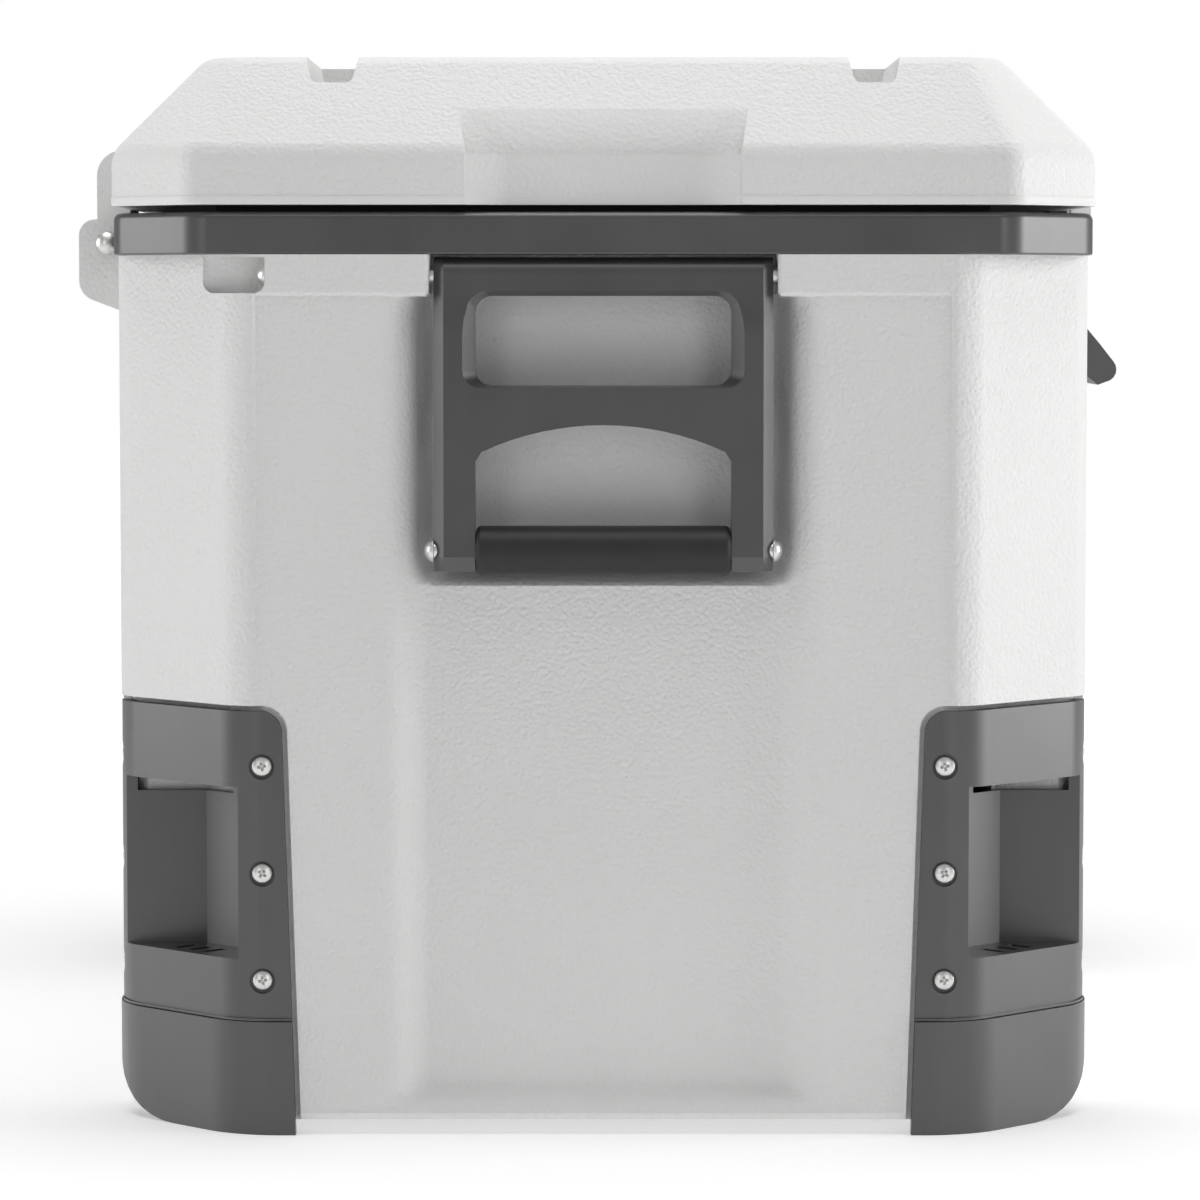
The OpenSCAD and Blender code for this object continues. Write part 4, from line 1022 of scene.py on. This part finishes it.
for end, y in (("handle_end", -hinge_y), ("wheel_end", hinge_y)):
    half = [(0, -hinge_half), (4, -hinge_half), (4, 0), (5, 0), (5.25, 0.3)]
    half += [(r, h + 0.5) for r, h in dome_profile(5.1, 2.5)]
    rods = []
    for s in (-1, 1):
        part = spun(half, 40)
        bmesh.ops.transform(part, matrix=Matrix.Translation((hinge_x, y + s * hinge_half, hinge_z))
                            @ Matrix.Rotation(-s * math.pi / 2, 4, "X"), verts=part.verts)
        rods.append(part)
    hinge_piece = show(join(rods), "hinge_pin_" + end, stainless)
    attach(hinge_piece, "tub")
    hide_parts("hinge_rod_" + end)

latch_rubber = satin_plastic("latch_rubber", (0.036, 0.036, 0.036), (0.047, 0.047, 0.047), 0.42)
for end in ("handle_end", "wheel_end"):
    lever = show(copy_of("latch_lever_" + end), "latch_strap_" + end, latch_rubber, 1.2, 3, 30)
    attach(lever, "latch_" + end)
    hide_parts("latch_lever_" + end)
    coat("latch_pin_" + end, stainless)
    keeper = show(copy_of("latch_keeper_" + end), "keeper_plate_" + end, dark_plastic, 0.4, 2, 30)
    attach(keeper, "tub")
    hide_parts("latch_keeper_" + end)
coat("keeper_screws", stainless)

# ---------------------------------------------------------------- drain
# A threaded tube crosses the wall above the floor, with a washer and a nut inside. The outer
# knob unscrews and draws a small sealed plug out of the tube.

for node in ("drain_fitting", "drain_nut", "drain_plug"):
    coat(node, dark_plastic)
for node in ("drain_washer", "drain_seal"):
    coat(node, gasket_rubber)
knob = show(copy_of("drain_knob"), "fluted_knob", dark_plastic, 0.7, 3, 30)
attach(knob, "drain_cap")
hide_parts("drain_knob")

# ---------------------------------------------------------------- studio
# A pale glowing floor that fades to white and lights the cooler dimly from below, soft lights at
# both sides, in front, high up and on top, and the camera that looks almost level at the handle end.

floor_mesh = bmesh.new()
bmesh.ops.create_grid(floor_mesh, x_segments=1, y_segments=1, size=12.0)
floor = as_object(floor_mesh, "studio_floor")
floor_paint, floor_tree, floor_shader, floor_where = new_material("studio_floor", specular=0.1)
# Painted glow: camera rays see the floor's glow rise from dim grey near the cooler to white far off, where it
# melts into the white background; every other ray sees a dim grey glow that lights the cooler from below
far = add_node(floor_tree, "VectorMath", {"operation": "LENGTH"}, {0: floor_where}).outputs["Value"]
fade = vary(floor_tree, far, 0.0, 1.0, 0.5, 2.4)
seen = add_node(floor_tree, "LightPath").outputs["Is Camera Ray"]
white = maths(floor_tree, "MULTIPLY", fade, seen)
glow = add_node(floor_tree, "Mix", {"data_type": "RGBA"}, {"Factor": white})
glow.inputs[6].default_value = (0.34, 0.34, 0.34, 1)
glow.inputs[7].default_value = (1, 1, 1, 1)
floor_tree.links.new(glow.outputs[2], floor_shader.inputs["Emission Color"])
floor_shader.inputs["Emission Strength"].default_value = 1.0
floor_shader.inputs["Base Color"].default_value = (0.8, 0.8, 0.8, 1)
floor_shader.inputs["Roughness"].default_value = 0.9
floor.data.materials.append(floor_paint)

world = bpy.data.worlds.new("studio")
bpy.context.scene.world = world
world.use_nodes = True
air = world.node_tree
rays = add_node(air, "LightPath").outputs
soft = maths(air, "ADD", maths(air, "MULTIPLY", rays["Is Glossy Ray"], 0.30), 0.05)
air.links.new(maths(air, "MAXIMUM", rays["Is Camera Ray"], soft), air.nodes["Background"].inputs["Strength"])
air.nodes["Background"].inputs["Color"].default_value = (1, 1, 1, 1)


def soft_light(name, place, target, size, power):
    lamp = bpy.data.lights.new(name, "AREA")
    lamp.shape = "RECTANGLE"
    lamp.size, lamp.size_y = size
    lamp.energy = power
    thing = bpy.data.objects.new(name, lamp)
    bpy.context.scene.collection.objects.link(thing)
    thing.location = place
    thing.rotation_euler = (Vector(target) - Vector(place)).to_track_quat("-Z", "Y").to_euler()


middle = (0, -0.2, 0.24)
soft_light("left_softbox", (-2.6, -0.25, 0.8), (0, -0.25, 0.8), (1.6, 1.6), 24)
soft_light("right_softbox", (2.6, -0.25, 0.8), (0, -0.25, 0.8), (1.6, 1.6), 40)
soft_light("front_left_softbox", (-1.3, -2.9, 0.9), middle, (0.9, 1.4), 5.5)
soft_light("front_right_softbox", (1.3, -2.9, 0.9), middle, (0.9, 1.4), 7)
soft_light("high_softbox", (0, -1.1, 2.3), middle, (1.8, 1.0), 5.5)
soft_light("top_softbox", (0, 0.1, 2.2), middle, (2.2, 2.0), 38)

camera_data = bpy.data.cameras.new("camera")
camera_data.lens = 141.8
camera_data.sensor_width = 36
camera_data.clip_end = 60
camera = bpy.data.objects.new("camera", camera_data)
bpy.context.scene.collection.objects.link(camera)
camera.location = (-0.0015, -2.45, 0.3739)
camera.rotation_euler = (math.radians(90 - 3.64), 0, 0)
bpy.context.scene.camera = camera
bpy.context.scene.view_settings.view_transform = "Standard"
